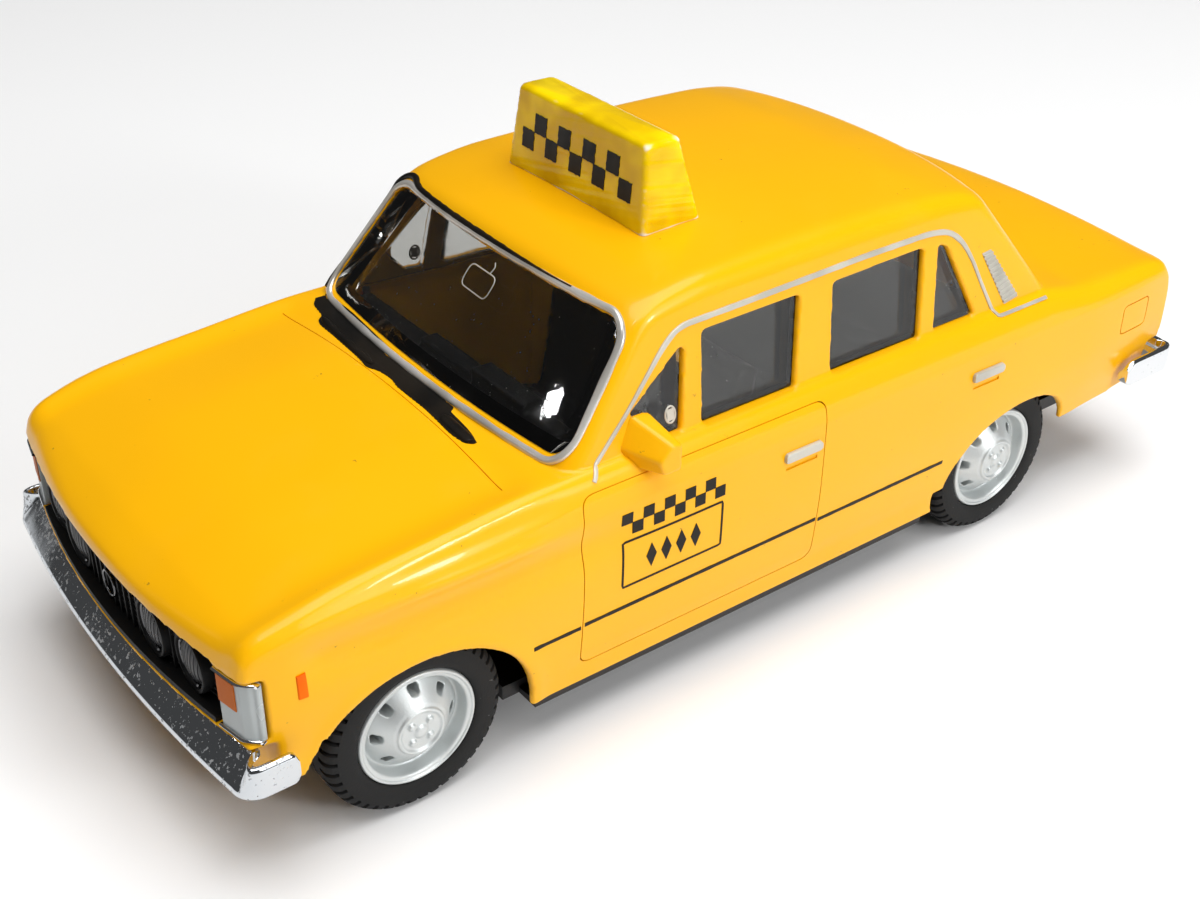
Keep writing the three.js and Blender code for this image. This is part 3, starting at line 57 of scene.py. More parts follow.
def box_mm(node):
    low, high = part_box(node)
    return np.array(low) / MM, np.array(high) / MM


def middle_mm(node):
    low, high = box_mm(node)
    return (low + high) / 2


# Driving sizes, read from the frame where a node gives them
SHELL_LOW, SHELL_HIGH = box_mm("body_shell")
NOSE_X = SHELL_HIGH[0]
TAIL_X = SHELL_LOW[0]
SIDE_HALF = SHELL_HIGH[1]
FRONT_AXLE_X, _, AXLE_Z = middle_mm("front_axle")
REAR_AXLE_X = middle_mm("rear_axle")[0]
WHEEL_FACE_Y = box_mm("front_left_tyre")[1][1]
TYRE_WIDTH = WHEEL_FACE_Y - box_mm("front_left_tyre")[0][1]
RIM_FACE_Y = box_mm("front_left_rim")[1][1]
RIM_RADIUS = 5.4
SILL_Z = 5.0
BELT_Z = 25.0
CREASE_Z = 22.1
ROOF_Z = 38.8
WALL = 1.3
CREST_HALF = SIDE_HALF - 1.7
NOSE_BOW = 2.2
TAIL_BOW = 0.8
BOW_REACH = 10.0
HOOD_FOLD_Y = 7.5
HOOD_VALLEY = 0.4
CABIN_HALF = SIDE_HALF - 1.9
ROOF_HALF = CABIN_HALF - 2.3
SCREEN_FOOT_X = FRONT_AXLE_X - 13.4
SCREEN_HEAD_X = SCREEN_FOOT_X - 9.4
BACKLIGHT_FOOT_X = REAR_AXLE_X - 8
BACKLIGHT_HEAD_X = BACKLIGHT_FOOT_X + 9.5
SCREEN_BOW = 1.3
BACKLIGHT_BOW = 2.4
PILLAR_RADIUS = 2.0
ROOF_ROUND_SIDE = 2.0
ROOF_ROUND_END = 1.1
ROOF_CROWN = 0.9
DOOR_FRONT_X = FRONT_AXLE_X - 15.5
DOOR_REAR_X = DOOR_FRONT_X - 26.6
DOOR_FOOT_Z = 7.2
DOOR_HEAD_Z = 24.2
DOOR_SHUT_GAP = 0.09
DOOR_INNER_Y = 16.2
HINGE_X, HINGE_Y, _ = middle_mm("left_hinge_pin")
GRILLE_HALF = 17.0
GRILLE_FOOT_Z = 13.8
GRILLE_HEAD_Z = 19.2
GRILLE_RECESS = 2.4
LIP_RISE = 0.5
BUMPER_HALF = box_mm("front_bumper")[1][1]
BUMPER_HEIGHT = 3.0
FAR = 60.0


# Lines and surfaces
def curve(pairs):
    """Smooth function through (place, value) pairs that never overshoots them."""
    ordered = sorted(pairs)
    at = np.array([p[0] for p in ordered], float)
    values = np.array([p[1] for p in ordered], float)
    rise = np.diff(values) / np.diff(at)
    slope = np.zeros(len(at))
    slope[0] = rise[0]
    slope[-1] = rise[-1]
    for i in range(1, len(at) - 1):
        before, after = rise[i - 1], rise[i]
        if before * after > 0:
            slope[i] = 2 * before * after / (before + after)

    def value(x):
        x = np.clip(np.asarray(x, float), at[0], at[-1])
        i = np.clip(np.searchsorted(at, x) - 1, 0, len(at) - 2)
        run = at[i + 1] - at[i]
        t = (x - at[i]) / run
        s = 1 - t
        bend = s * s * t * run * slope[i] - s * t * t * run * slope[i + 1]
        return values[i] * s * s * (1 + 2 * t) + values[i + 1] * t * t * (3 - 2 * t) + bend

    return value


def shifted(base, pairs):
    return curve([(x, base + rise) for x, rise in pairs])


side_half = shifted(SIDE_HALF, [
    (NOSE_X, -1), (NOSE_X - 5, -0.5), (NOSE_X - 11, -0.2), (DOOR_FRONT_X + 7, 0),
    (REAR_AXLE_X - 11, 0), (TAIL_X + 7, -0.3), (TAIL_X, -1)])
crest_half = shifted(CREST_HALF, [(NOSE_X, -0.3), (NOSE_X - 8, 0), (TAIL_X + 9, -0.2), (TAIL_X, -0.7)])
crest_height = shifted(BELT_Z, [
    (NOSE_X, -4.9), (NOSE_X - 0.5, -3.7), (NOSE_X - 1.5, -2.8), (NOSE_X - 2.8, -2.3), (NOSE_X - 11, -0.8),
    (NOSE_X - 19, -0.1), (SCREEN_FOOT_X, 0.6), (BACKLIGHT_FOOT_X + 4, 0.3), (BACKLIGHT_FOOT_X - 3, -0.7),
    (TAIL_X + 5, -1.2), (TAIL_X + 1.4, -1.8), (TAIL_X + 0.4, -2.7), (TAIL_X, -3.8)])
deck_height = shifted(BELT_Z, [
    (NOSE_X, -4.9), (NOSE_X - 0.08, -4.5), (NOSE_X - 0.25, -4.15), (NOSE_X - 0.7, -3.75), (NOSE_X - 2, -3.05),
    (NOSE_X - 3.6, -2.35), (NOSE_X - 11, -0.45), (NOSE_X - 19, 0.5), (SCREEN_FOOT_X + 3.4, 0.95),
    (SCREEN_FOOT_X + 1, 0.6), (BACKLIGHT_FOOT_X + 2, 0.4), (BACKLIGHT_FOOT_X - 4, -0.1),
    (TAIL_X + 5, -0.7), (TAIL_X + 1.4, -1.2), (TAIL_X + 0.4, -2.1), (TAIL_X, -3.4)])
foot_height = curve([
    (NOSE_X, 8.2), (FRONT_AXLE_X + 10, 8.4), (FRONT_AXLE_X - 10, SILL_Z), (REAR_AXLE_X + 8, SILL_Z),
    (REAR_AXLE_X - 9.5, 9.4), (TAIL_X, 10.2)])
roof_line = shifted(ROOF_Z, [
    (SCREEN_HEAD_X, -1.9), (SCREEN_HEAD_X - 4, -0.8), (SCREEN_HEAD_X - 9, -0.2), (SCREEN_HEAD_X - 22, 0),
    (BACKLIGHT_HEAD_X + 9, -0.4), (BACKLIGHT_HEAD_X + 3.5, -1.1), (BACKLIGHT_HEAD_X, -1.8)])


def roof_fall(y):
    return ROOF_CROWN * np.abs(y / ROOF_HALF) ** 2.5


def nose_sweep(y):
    return NOSE_BOW * (y / CREST_HALF) ** 2


def tail_sweep(y):
    return TAIL_BOW * (y / CREST_HALF) ** 2


def swept(x, y):
    """Plan sweep of the nose and the tail, fading out along the body."""
    front = np.maximum(0, 1 - np.abs(x - NOSE_X) / BOW_REACH)
    back = np.maximum(0, 1 - np.abs(x - TAIL_X) / BOW_REACH)
    return x - nose_sweep(y) * front + tail_sweep(y) * back


def full_turn(count):
    """Even angles all the way round."""
    return np.linspace(0, 2 * math.pi, count, endpoint=False)


def bump_of(value, centre, width):
    return np.exp(-((value - centre) / width) ** 2)


def ramp(value, low, high):
    t = np.clip((np.asarray(value, float) - low) / (high - low), 0, 1)
    return t * t * (3 - 2 * t)


def wobble(t, seed):
    """Gentle hand-made unevenness between about -1 and 1."""
    return (np.sin(1.7 * t + seed) + np.sin(3.1 * t + 2.3 * seed) + np.sin(5.3 * t + 4.1 * seed)) / 3


def through(points, at):
    """Smooth line through the points of each row, read at index positions."""
    rise = np.diff(points, axis=1)
    before, after = rise[:, :-1], rise[:, 1:]
    total = before + after
    even = np.where(np.abs(total) > 1e-9, total, 1)
    inner = np.where(before * after > 0, 2 * before * after / even, 0)
    slope = np.concatenate([rise[:, :1], inner, rise[:, -1:]], axis=1)
    slope[:, -1, 1] = 0
    i = np.clip(at.astype(int), 0, points.shape[1] - 2)
    t = (at - i)[None, :, None]
    s = 1 - t
    ends = points[:, i] * s * s * (1 + 2 * t) + points[:, i + 1] * t * t * (3 - 2 * t)
    return ends + s * s * t * slope[:, i] - s * t * t * slope[:, i + 1]


# Meshes
def bench_shape(points, faces):
    """Editable shape from points and the faces between them."""
    shape = bmesh.new()
    corners = [shape.verts.new(p) for p in points]
    for face in faces:
        shape.faces.new([corners[i] for i in face])
    return shape


def opened(mesh):
    """Editable copy of a mesh."""
    shape = bmesh.new()
    shape.from_mesh(mesh)
    return shape


def as_mesh(shape):
    """Mesh made from an editable shape, which is freed."""
    mesh = bpy.data.meshes.new("shape")
    shape.to_mesh(mesh)
    shape.free()
    return mesh


def solid(points, faces):
    """Closed mesh with its faces turned outwards and doubled points joined."""
    shape = bench_shape(points, faces)
    bmesh.ops.remove_doubles(shape, verts=shape.verts, dist=1e-5)
    bmesh.ops.dissolve_degenerate(shape, edges=shape.edges, dist=1e-6)
    if shape.calc_volume(signed=True) < 0:
        bmesh.ops.reverse_faces(shape, faces=shape.faces)
    return as_mesh(shape)


def patched_solid(points, faces):
    """Closed mesh from patches that meet at doubled points."""
    shape = bench_shape(points, faces)
    bmesh.ops.remove_doubles(shape, verts=shape.verts, dist=1e-4)
    loose = [v for v in shape.verts if not v.link_faces]
    bmesh.ops.delete(shape, geom=loose, context="VERTS")
    bmesh.ops.recalc_face_normals(shape, faces=shape.faces)
    return as_mesh(shape)


def ring_faces(rows, ring):
    """Four-sided faces between neighbouring rings of points."""
    here = np.arange(ring)
    after = (here + 1) % ring
    faces = []
    for start in range(0, (rows - 1) * ring, ring):
        corners = [start + here, start + after, start + ring + after, start + ring + here]
        faces += np.stack(corners, 1).tolist()
    return faces


def loft(rows):
    """Skin over rings with equal counts of points, closed at both ends by a fan."""
    rows = np.asarray(rows, float)
    count, ring = rows.shape[:2]
    points = np.concatenate([rows.reshape(-1, 3), rows[[0, -1]].mean(axis=1)])
    faces = ring_faces(count, ring)
    last = (count - 1) * ring
    for i in range(ring):
        j = (i + 1) % ring
        faces.append([count * ring, j, i])
        faces.append([count * ring + 1, last + i, last + j])
    return solid(points, faces)


def hoop(rows):
    """Skin over rings that close on themselves."""
    rows = np.asarray(rows, float)
    count, ring = rows.shape[:2]
    points = np.concatenate([rows.reshape(-1, 3), rows[0]])
    return solid(points, ring_faces(count + 1, ring))


def turned(profile, steps, axis="Y", centre=(0, 0, 0)):
    """Closed (radius, height) profile turned about an axis through the centre."""
    profile = np.asarray(profile, float)
    rows = []
    for a in full_turn(steps):
        r, h = profile[:, 0], profile[:, 1]
        across, up = r * math.cos(a), r * math.sin(a)
        order = {"X": (h, across, up), "Y": (across, h, up), "Z": (across, up, h)}[axis]
        rows.append(np.stack(order, 1) + np.asarray(centre, float))
    return hoop(rows)


def prism(outline, axis, low, high):
    """Outline across an axis, carried along it: X takes (y, z), Y takes (x, z), Z takes (x, y)."""
    outline = np.asarray(outline, float)
    rows = []
    for level in (low, high):
        level = np.full(len(outline), float(level))
        a, b = outline[:, 0], outline[:, 1]
        rows.append(np.stack({"X": (level, a, b), "Y": (a, level, b), "Z": (a, b, level)}[axis], 1))
    count = len(outline)
    faces = ring_faces(2, count)
    faces.append(list(range(count))[::-1])
    faces.append(list(range(count, 2 * count)))
    return solid(np.concatenate(rows), faces)


def block(low, high):
    (x0, y0, z0), (x1, y1, z1) = low, high
    return prism([(x0, y0), (x1, y0), (x1, y1), (x0, y1)], "Z", z0, z1)


def rounded(points, radius, steps=6):
    """Outline with each corner turned by a curve."""
    path = []
    points = [np.array(p, float) for p in points]
    for i, corner in enumerate(points):
        before, after = points[i - 1], points[(i + 1) % len(points)]
        reach_in = min(radius, 0.45 * np.linalg.norm(before - corner))
        reach_out = min(radius, 0.45 * np.linalg.norm(after - corner))
        enter = corner + (before - corner) / np.linalg.norm(before - corner) * reach_in
        leave = corner + (after - corner) / np.linalg.norm(after - corner) * reach_out
        for t in np.linspace(0, 1, steps):
            path.append((1 - t) ** 2 * enter + 2 * t * (1 - t) * corner + t * t * leave)
    return np.array(path)


def evenly(points, step, closed=False):
    """Points of a line at even steps along it."""
    points = np.asarray(points, float)
    if closed:
        points = np.concatenate([points, points[:1]])
    lengths = np.linalg.norm(np.diff(points, axis=0), axis=1)
    along = np.concatenate([[0], np.cumsum(lengths)])
    count = max(2, int(round(along[-1] / step)) + 1)
    places = np.linspace(0, along[-1], count, endpoint=not closed)
    return np.stack([np.interp(places, along, points[:, k]) for k in range(points.shape[1])], 1)


def flowing(points, count):
    """Smooth open line through a few points."""
    points = np.asarray(points, float)
    padded = np.concatenate([2 * points[:1] - points[1:2], points, 2 * points[-1:] - points[-2:-1]])
    line = []
    for t in np.linspace(0, len(points) - 1.000001, count):
        i = int(t)
        u = t - i
        a, b, c, d = padded[i:i + 4]
        line.append(0.5 * (2 * b + (c - a) * u + (2 * a - 5 * b + 4 * c - d) * u * u
                           + (3 * b - a - 3 * c + d) * u ** 3))
    return np.array(line)


def ellipse_section(width, height, lift=0.0, sides=10):
    turn = full_turn(sides)
    return np.stack([width / 2 * np.cos(turn), lift + height / 2 * np.sin(turn)], 1)


def bar_section(width, low, high):
    return np.array([(-width / 2, low), (width / 2, low), (width / 2, high), (-width / 2, high)])


def bar(path, normals, section, closed=False, swell=None):
    """Section of (across, out) pairs carried along a path that lies on a surface."""
    path = np.asarray(path, float)
    normals = np.asarray(normals, float)
    if closed:
        along = np.roll(path, -1, axis=0) - np.roll(path, 1, axis=0)
    else:
        along = np.gradient(path, axis=0)
    across = np.cross(normals, along)
    across /= np.linalg.norm(across, axis=1)[:, None]
    swell = np.ones(len(path)) if swell is None else swell
    rows = []
    for p, n, a, s in zip(path, normals, across, swell):
        rows.append(p + section[:, :1] * a * s + section[:, 1:] * n)
    return hoop(rows) if closed else loft(rows)


def grown(outline, margin):
    """Closed outline moved outwards by a margin."""
    after = np.roll(outline, -1, axis=0)
    along = after - np.roll(outline, 1, axis=0)
    area = (outline[:, 0] * after[:, 1] - after[:, 0] * outline[:, 1]).sum()
    out = np.stack([along[:, 1], -along[:, 0]], 1) * np.sign(area)
    out /= np.linalg.norm(out, axis=1)[:, None]
    return outline + margin * out


def merged(meshes):
    """One mesh holding several closed shapes."""
    shape = bmesh.new()
    for mesh in meshes:
        shape.from_mesh(mesh)
    return as_mesh(shape)


def moved(mesh, matrix):
    copy = mesh.copy()
    copy.transform(matrix)
    if matrix.determinant() < 0:
        copy.flip_normals()
    return copy


def mirrored(mesh):
    return moved(mesh, Matrix.Scale(-1, 4, (0, 1, 0)))


def sided(mesh, sign):
    """Copy of a mesh drawn for the left side, turned over for the right."""
    return mesh.copy() if sign > 0 else mirrored(mesh)


def both_sides(mesh):
    return [mesh, mirrored(mesh)]


def on_bench(mesh):
    helper = bpy.data.objects.new("helper", mesh)
    bpy.context.scene.collection.objects.link(helper)
    return helper


def after_modifiers(helper):
    graph = bpy.context.evaluated_depsgraph_get()
    mesh = bpy.data.meshes.new_from_object(helper.evaluated_get(graph), depsgraph=graph)
    bpy.data.objects.remove(helper)
    return mesh


def carved(base, cuts=(), joins=(), overlap=None):
    """Base with shapes joined to it, cut from it, or kept only where it overlaps one."""
    helper = on_bench(base)
    tools = [(m, "UNION") for m in joins] + [(m, "DIFFERENCE") for m in cuts]
    if overlap is not None:
        tools.insert(0, (overlap, "INTERSECT"))
    benches = []
    for mesh, operation in tools:
        bench = on_bench(mesh)
        step = helper.modifiers.new(operation, "BOOLEAN")
        step.operation = operation
        step.solver = "MANIFOLD"
        step.object = bench
        benches.append(bench)
    result = after_modifiers(helper)
    for bench in benches:
        bpy.data.objects.remove(bench)
    return result


def positions(mesh):
    flat = np.empty(len(mesh.vertices) * 3)
    mesh.vertices.foreach_get("co", flat)
    return flat.reshape(-1, 3)


def set_positions(mesh, points):
    mesh.vertices.foreach_set("co", np.asarray(points, float).ravel())
    mesh.update()


def tree_of(mesh):
    shape = opened(mesh)
    tree = BVHTree.FromBMesh(shape)
    shape.free()
    return tree


def edge_points(mesh, least_angle, step):
    """Points along the sharp edges of a mesh, as a tree to measure distances from."""
    shape = opened(mesh)
    bmesh.ops.remove_doubles(shape, verts=shape.verts, dist=1e-4)
    spots = []
    for edge in shape.edges:
        if len(edge.link_faces) == 2 and edge.calc_face_angle(0) > least_angle:
            first, last = edge.verts[0].co, edge.verts[1].co
            count = int((last - first).length / step) + 1
            spots += [first.lerp(last, k / count) for k in range(count + 1)]
    shape.free()
    tree = KDTree(max(1, len(spots)))
    for i, spot in enumerate(spots):
        tree.insert(spot, i)
    tree.balance()
    return tree


EDGE_ANGLE = math.radians(28)
EASED_CORE = 0.3


def softened(mesh, voxel, radius, rounds, faces):
    """Cast look: sharp edges eased over a radius, all else settled back onto the drawn shape."""
    drawn = tree_of(mesh)
    edges = edge_points(mesh, EDGE_ANGLE, voxel / 2)
    helper = on_bench(mesh)
    grid = helper.modifiers.new("grid", "REMESH")
    grid.mode = "VOXEL"
    grid.voxel_size = voxel
    ease = helper.modifiers.new("ease", "SMOOTH")
    ease.factor = 0.5
    ease.iterations = rounds
    soft = after_modifiers(helper)
    points = positions(soft)
    for i in range(len(points)):
        away = edges.find(points[i])[2]
        if away is not None and away < EASED_CORE * radius:
            continue
        spot = drawn.find_nearest(points[i])[0]
        weight = 1.0
        if away is not None and away < radius:
            weight = (away / radius - EASED_CORE) / (1 - EASED_CORE)
        points[i] += weight * (np.array(spot) - points[i])
    set_positions(soft, points)
    triangles = 2 * len(soft.polygons)
    if triangles > faces:
        helper = on_bench(soft)
        thin = helper.modifiers.new("thin", "DECIMATE")
        thin.ratio = faces / triangles
        soft = after_modifiers(helper)
    return soft


def shade(mesh, sharp):
    """Smooth shading that breaks at edges sharper than an angle in degrees."""
    mesh.polygons.foreach_set("use_smooth", [True] * len(mesh.polygons))
    mesh.set_sharp_from_angle(angle=math.radians(sharp))


def place(name, mesh, finish, stands_for=None, body="car", sharp=40):
    """Puts a drawn mesh into the scene as a piece that moves with a body and may replace a node."""
    mesh.transform(Matrix.Scale(MM, 4))
    mesh.materials.clear()
    mesh.materials.append(finish)
    shade(mesh, sharp)
    mesh.name = name
    piece = bpy.data.objects.new(name, mesh)
    bpy.context.scene.collection.objects.link(piece)
    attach(piece, body)
    if stands_for:
        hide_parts(stands_for)
    return piece


def corner_facing(mesh):
    """Facing at each corner of each face."""
    flat = np.empty(len(mesh.loops) * 3)
    mesh.corner_normals.foreach_get("vector", flat)
    return flat.reshape(-1, 3)


SKIN_SHARP = 30
FACING_NEAR = 0.01
FACING_FAR = 0.05
FACING_COSINE = math.cos(math.radians(32))


class Skin:
    """Smooth drawn surface that a casting lies on."""

    def __init__(self, mesh):
        shade(mesh, SKIN_SHARP)
        self.tree = tree_of(mesh)
        self.points = positions(mesh)
        self.corners = [tuple(p.vertices) for p in mesh.polygons]
        self.starts = [p.loop_start for p in mesh.polygons]
        self.normals = corner_facing(mesh)

    def nearest(self, point, reach):
        """Distance and facing of the nearest spot, or None beyond the reach."""
        spot, _, face, away = self.tree.find_nearest(point, reach)
        if spot is None:
            return None
        corners = self.corners[face]
        weights = poly_3d_calc([Vector(self.points[i]) for i in corners], spot)
        start = self.starts[face]
        return away, np.array(weights) @ self.normals[start:start + len(corners)]


def settle_facing(piece, skins):
    """Shades the outer skin of a placed casting by the drawn surfaces that it lies on."""
    mesh = piece.data
    points = positions(mesh) / MM
    facing = np.zeros_like(points)
    weight = np.zeros(len(points))
    for i, point in enumerate(points):
        found = [hit for hit in (skin.nearest(Vector(point), FACING_FAR) for skin in skins) if hit]
        if found:
            away, facing[i] = min(found, key=lambda hit: hit[0])
            weight[i] = 1 - ramp(away, FACING_NEAR, FACING_FAR)
    own = corner_facing(mesh)
    owner = np.empty(len(mesh.loops), int)
    mesh.loops.foreach_get("vertex_index", owner)
    facing = facing[owner]
    facing /= np.maximum(np.linalg.norm(facing, axis=1), 1e-9)[:, None]
    share = weight[owner] * ((own * facing).sum(axis=1) > FACING_COSINE)
    mixed = own + (facing - own) * share[:, None]
    mixed /= np.linalg.norm(mixed, axis=1)[:, None]
    mixed[share == 0] = 0
    mesh.normals_split_custom_set(mixed.tolist())


# Shared effects
def effect(name, inputs, outputs):
    """Empty shader node group, with its sockets to read from and to fill."""
    group = bpy.data.node_groups.new(name, "ShaderNodeTree")
    for label, value in inputs:
        socket = group.interface.new_socket(label, in_out="INPUT", socket_type="NodeSocketFloat")
        socket.default_value = value
    for label in outputs:
        group.interface.new_socket(label, in_out="OUTPUT", socket_type="NodeSocketFloat")
    given = group.nodes.new("NodeGroupInput").outputs
    wanted = group.nodes.new("NodeGroupOutput").inputs
    return group, given, wanted


def set_sockets(made, values):
    """Sets inputs of a node by name, with _ for a space."""
    for key, value in values.items():
        made.inputs[key.replace("_", " ")].default_value = value


def feed(tree, value, socket):
    """Gives a socket a number, a colour or the output of another node."""
    if isinstance(value, (int, float)):
        socket.default_value = value
    elif isinstance(value, tuple):
        socket.default_value = (*value, 1)
    else:
        tree.links.new(value, socket)


def math_node(tree, operation, *values):
    made = tree.nodes.new("ShaderNodeMath")
    made.operation = operation
    for socket, value in zip(made.inputs, values):
        feed(tree, value, socket)
    return made.outputs[0]


def noise(tree, scale, detail=2.0, roughness=0.5):
    """Noise over the surface; scale is a number or a socket, in features per metre."""
    made = tree.nodes.new("ShaderNodeTexNoise")
    set_sockets(made, {"Detail": detail, "Roughness": roughness})
    feed(tree, tree.nodes.new("ShaderNodeTexCoord").outputs["Object"], made.inputs["Vector"])
    feed(tree, scale, made.inputs["Scale"])
    return made.outputs["Fac"]


def banded(tree, value, low, high):
    """Smooth step of a value between two bounds."""
    made = tree.nodes.new("ShaderNodeMapRange")
    made.interpolation_type = "SMOOTHSTEP"
    for label, given in (("Value", value), ("From Min", low), ("From Max", high)):
        feed(tree, given, made.inputs[label])
    return made.outputs["Result"]


def spread_value(tree, mask, low, high):
    """Value between two bounds by a mask."""
    made = tree.nodes.new("ShaderNodeMapRange")
    for label, given in (("Value", mask), ("To Min", low), ("To Max", high)):
        feed(tree, given, made.inputs[label])
    return made.outputs["Result"]


def make_ripple():
    """Unevenness of sprayed enamel: slow waves and fine peel."""
    scales = [("Wave Scale", 90.0), ("Peel Scale", 900.0)]
    group, given, wanted = effect("enamel_ripple", scales, ["Height", "Tone"])
    wave = noise(group, given["Wave Scale"], 1.0)
    peel = noise(group, given["Peel Scale"])
    feed(group, math_node(group, "MULTIPLY_ADD", peel, 0.25, wave), wanted["Height"])
    feed(group, wave, wanted["Tone"])
    return group


def make_specks():
    """Dust: sparse specks gathered in patches."""
    settings = [("Speck Scale", 2500.0), ("Cover", 0.6)]
    group, given, wanted = effect("dust_specks", settings, ["Mask", "Film"])
    fine = noise(group, given["Speck Scale"], 3.0, 0.6)
    patch = noise(group, 120.0, 3.0, 0.6)
    spread = math_node(group, "MULTIPLY_ADD", patch, 0.35, fine)
    edge = math_node(group, "ADD", given["Cover"], 0.05)
    feed(group, banded(group, spread, given["Cover"], edge), wanted["Mask"])
    feed(group, banded(group, patch, 0.45, 0.75), wanted["Film"])
    return group


def make_sharp_edges():
    """Mask on the sharpest parts of the form, broken up by noise."""
    settings = [("Threshold", 0.56), ("Break Scale", 1200.0)]
    group, given, wanted = effect("sharp_edge_pale", settings, ["Mask"])
    sharpness = group.nodes.new("ShaderNodeNewGeometry").outputs["Pointiness"]
    broken = noise(group, given["Break Scale"])
    mixed = math_node(group, "MULTIPLY_ADD", broken, 0.06, sharpness)
    top = math_node(group, "ADD", given["Threshold"], 0.04)
    feed(group, banded(group, mixed, given["Threshold"], top), wanted["Mask"])
    return group


def make_grain():
    """Fine tooth of moulded plastic, rubber and bare metal."""
    group, given, wanted = effect("fine_grain", [("Scale", 4000.0)], ["Height", "Tone"])
    feed(group, noise(group, given["Scale"], 3.0, 0.6), wanted["Height"])
    feed(group, noise(group, 250.0), wanted["Tone"])
    return group


RIPPLE = make_ripple()
SPECKS = make_specks()
SHARP_EDGES = make_sharp_edges()
GRAIN = make_grain()


# Finishes
PLASTIC_IOR = 1.49


def use(tree, group, **values):
    """Outputs of a shared effect placed in a material."""
    made = tree.nodes.new("ShaderNodeGroup")
    made.node_tree = group
    set_sockets(made, values)
    return made.outputs


def new_finish(name, colour, roughness, metallic=0.0, **sockets):
    """Material, its node tree and the inputs of its shader; extra sockets are set by name."""
    finish = bpy.data.materials.new(name)
    finish.use_nodes = True
    tree = finish.node_tree
    shader = tree.nodes["Principled BSDF"]
    set_sockets(shader, {"Base Color": (*colour, 1), "Roughness": roughness, "Metallic": metallic})
    set_sockets(shader, sockets)
    return finish, tree, shader.inputs


def blend_colours(tree, mask, first, second):
    """Colour between two by a mask; each is a colour or a socket."""
    made = tree.nodes.new("ShaderNodeMix")
    made.data_type = "RGBA"
    feed(tree, mask, made.inputs["Factor"])
    for label, value in (("A", first), ("B", second)):
        socket = [s for s in made.inputs if s.name == label and s.type == "RGBA"][0]
        feed(tree, value, socket)
    return [s for s in made.outputs if s.type == "RGBA"][0]


def add_bump(tree, inputs, height, distance, strength):
    """Bump of a height in metres, fed to a shader."""
    bump = tree.nodes.new("ShaderNodeBump")
    set_sockets(bump, {"Strength": strength, "Distance": distance})
    feed(tree, height, bump.inputs["Height"])
    feed(tree, bump.outputs["Normal"], inputs["Normal"])


def yellow_enamel():
    """Sprayed enamel with slow waves and a little dust."""
    finish, tree, inputs = new_finish("yellow_enamel", (0.92, 0.45, 0.001), 0.3, Coat_Weight=0.22,
                                      Coat_Roughness=0.04, Specular_IOR_Level=0.2)
    ripple = use(tree, RIPPLE, Wave_Scale=60.0, Peel_Scale=700.0)
    dust = use(tree, SPECKS, Speck_Scale=1300.0, Cover=0.91)
    toned = blend_colours(tree, ripple["Tone"], (0.94, 0.465, 0.001), (0.9, 0.435, 0.001))
    feed(tree, blend_colours(tree, dust["Mask"], toned, (0.5, 0.25, 0.01)), inputs["Base Color"])
    feed(tree, spread_value(tree, dust["Film"], 0.28, 0.4), inputs["Roughness"])
    add_bump(tree, inputs, ripple["Height"], 0.00006, 0.3)
    return finish


def window_plastic():
    """Clear moulding with dust and slow waves."""
    clean = (0.72, 0.72, 0.7)
    finish, tree, inputs = new_finish("window_plastic", clean, 0.03, Transmission_Weight=1.0, IOR=PLASTIC_IOR)
    dust = use(tree, SPECKS, Speck_Scale=1900.0, Cover=0.87)
    ripple = use(tree, RIPPLE, Wave_Scale=120.0, Peel_Scale=500.0)
    film = spread_value(tree, dust["Film"], 0.02, 0.12)
    feed(tree, math_node(tree, "MULTIPLY_ADD", dust["Mask"], 0.25, film), inputs["Roughness"])
    feed(tree, blend_colours(tree, dust["Mask"], clean, (0.6, 0.58, 0.54)), inputs["Base Color"])
    add_bump(tree, inputs, ripple["Height"], 0.0001, 0.25)
    return finish


def grained(name, dark, light, roughness, scale, metallic=0.0, depth=0.00003, **sockets):
    """Moulded or bare finish: tone, tooth and dust in patches."""
    finish, tree, inputs = new_finish(name, dark, roughness, metallic, **sockets)
    grain = use(tree, GRAIN, Scale=scale)
    dust = use(tree, SPECKS, Speck_Scale=2200.0, Cover=0.89)
    toned = blend_colours(tree, grain["Tone"], dark, light)
    dusty = tuple(min(1, c + 0.1) for c in light)
    feed(tree, blend_colours(tree, dust["Mask"], toned, dusty), inputs["Base Color"])
    rough = spread_value(tree, grain["Tone"], roughness * 0.85, min(1, roughness * 1.2))
    feed(tree, rough, inputs["Roughness"])
    add_bump(tree, inputs, grain["Height"], depth, 0.6)
    return finish


def plated(name, dust_cover, film, bright=(0.8, 0.82, 0.84)):
    """Vacuum plating: metal of a given base colour with dust specks and dull patches; a darker base paints in shade
    and dark reflections.
    """
    finish, tree, inputs = new_finish(name, bright, 0.06, 1.0)
    dust = use(tree, SPECKS, Speck_Scale=2600.0, Cover=dust_cover)
    ripple = use(tree, RIPPLE, Wave_Scale=200.0, Peel_Scale=900.0)
    feed(tree, blend_colours(tree, dust["Mask"], bright, (0.34, 0.35, 0.36)), inputs["Base Color"])
    dull = spread_value(tree, dust["Film"], 0.04, film)
    feed(tree, math_node(tree, "MULTIPLY_ADD", dust["Mask"], 0.5, dull), inputs["Roughness"])
    feed(tree, math_node(tree, "SUBTRACT", 1.0, dust["Mask"]), inputs["Metallic"])
    add_bump(tree, inputs, ripple["Height"], 0.00005, 0.4)
    return finish


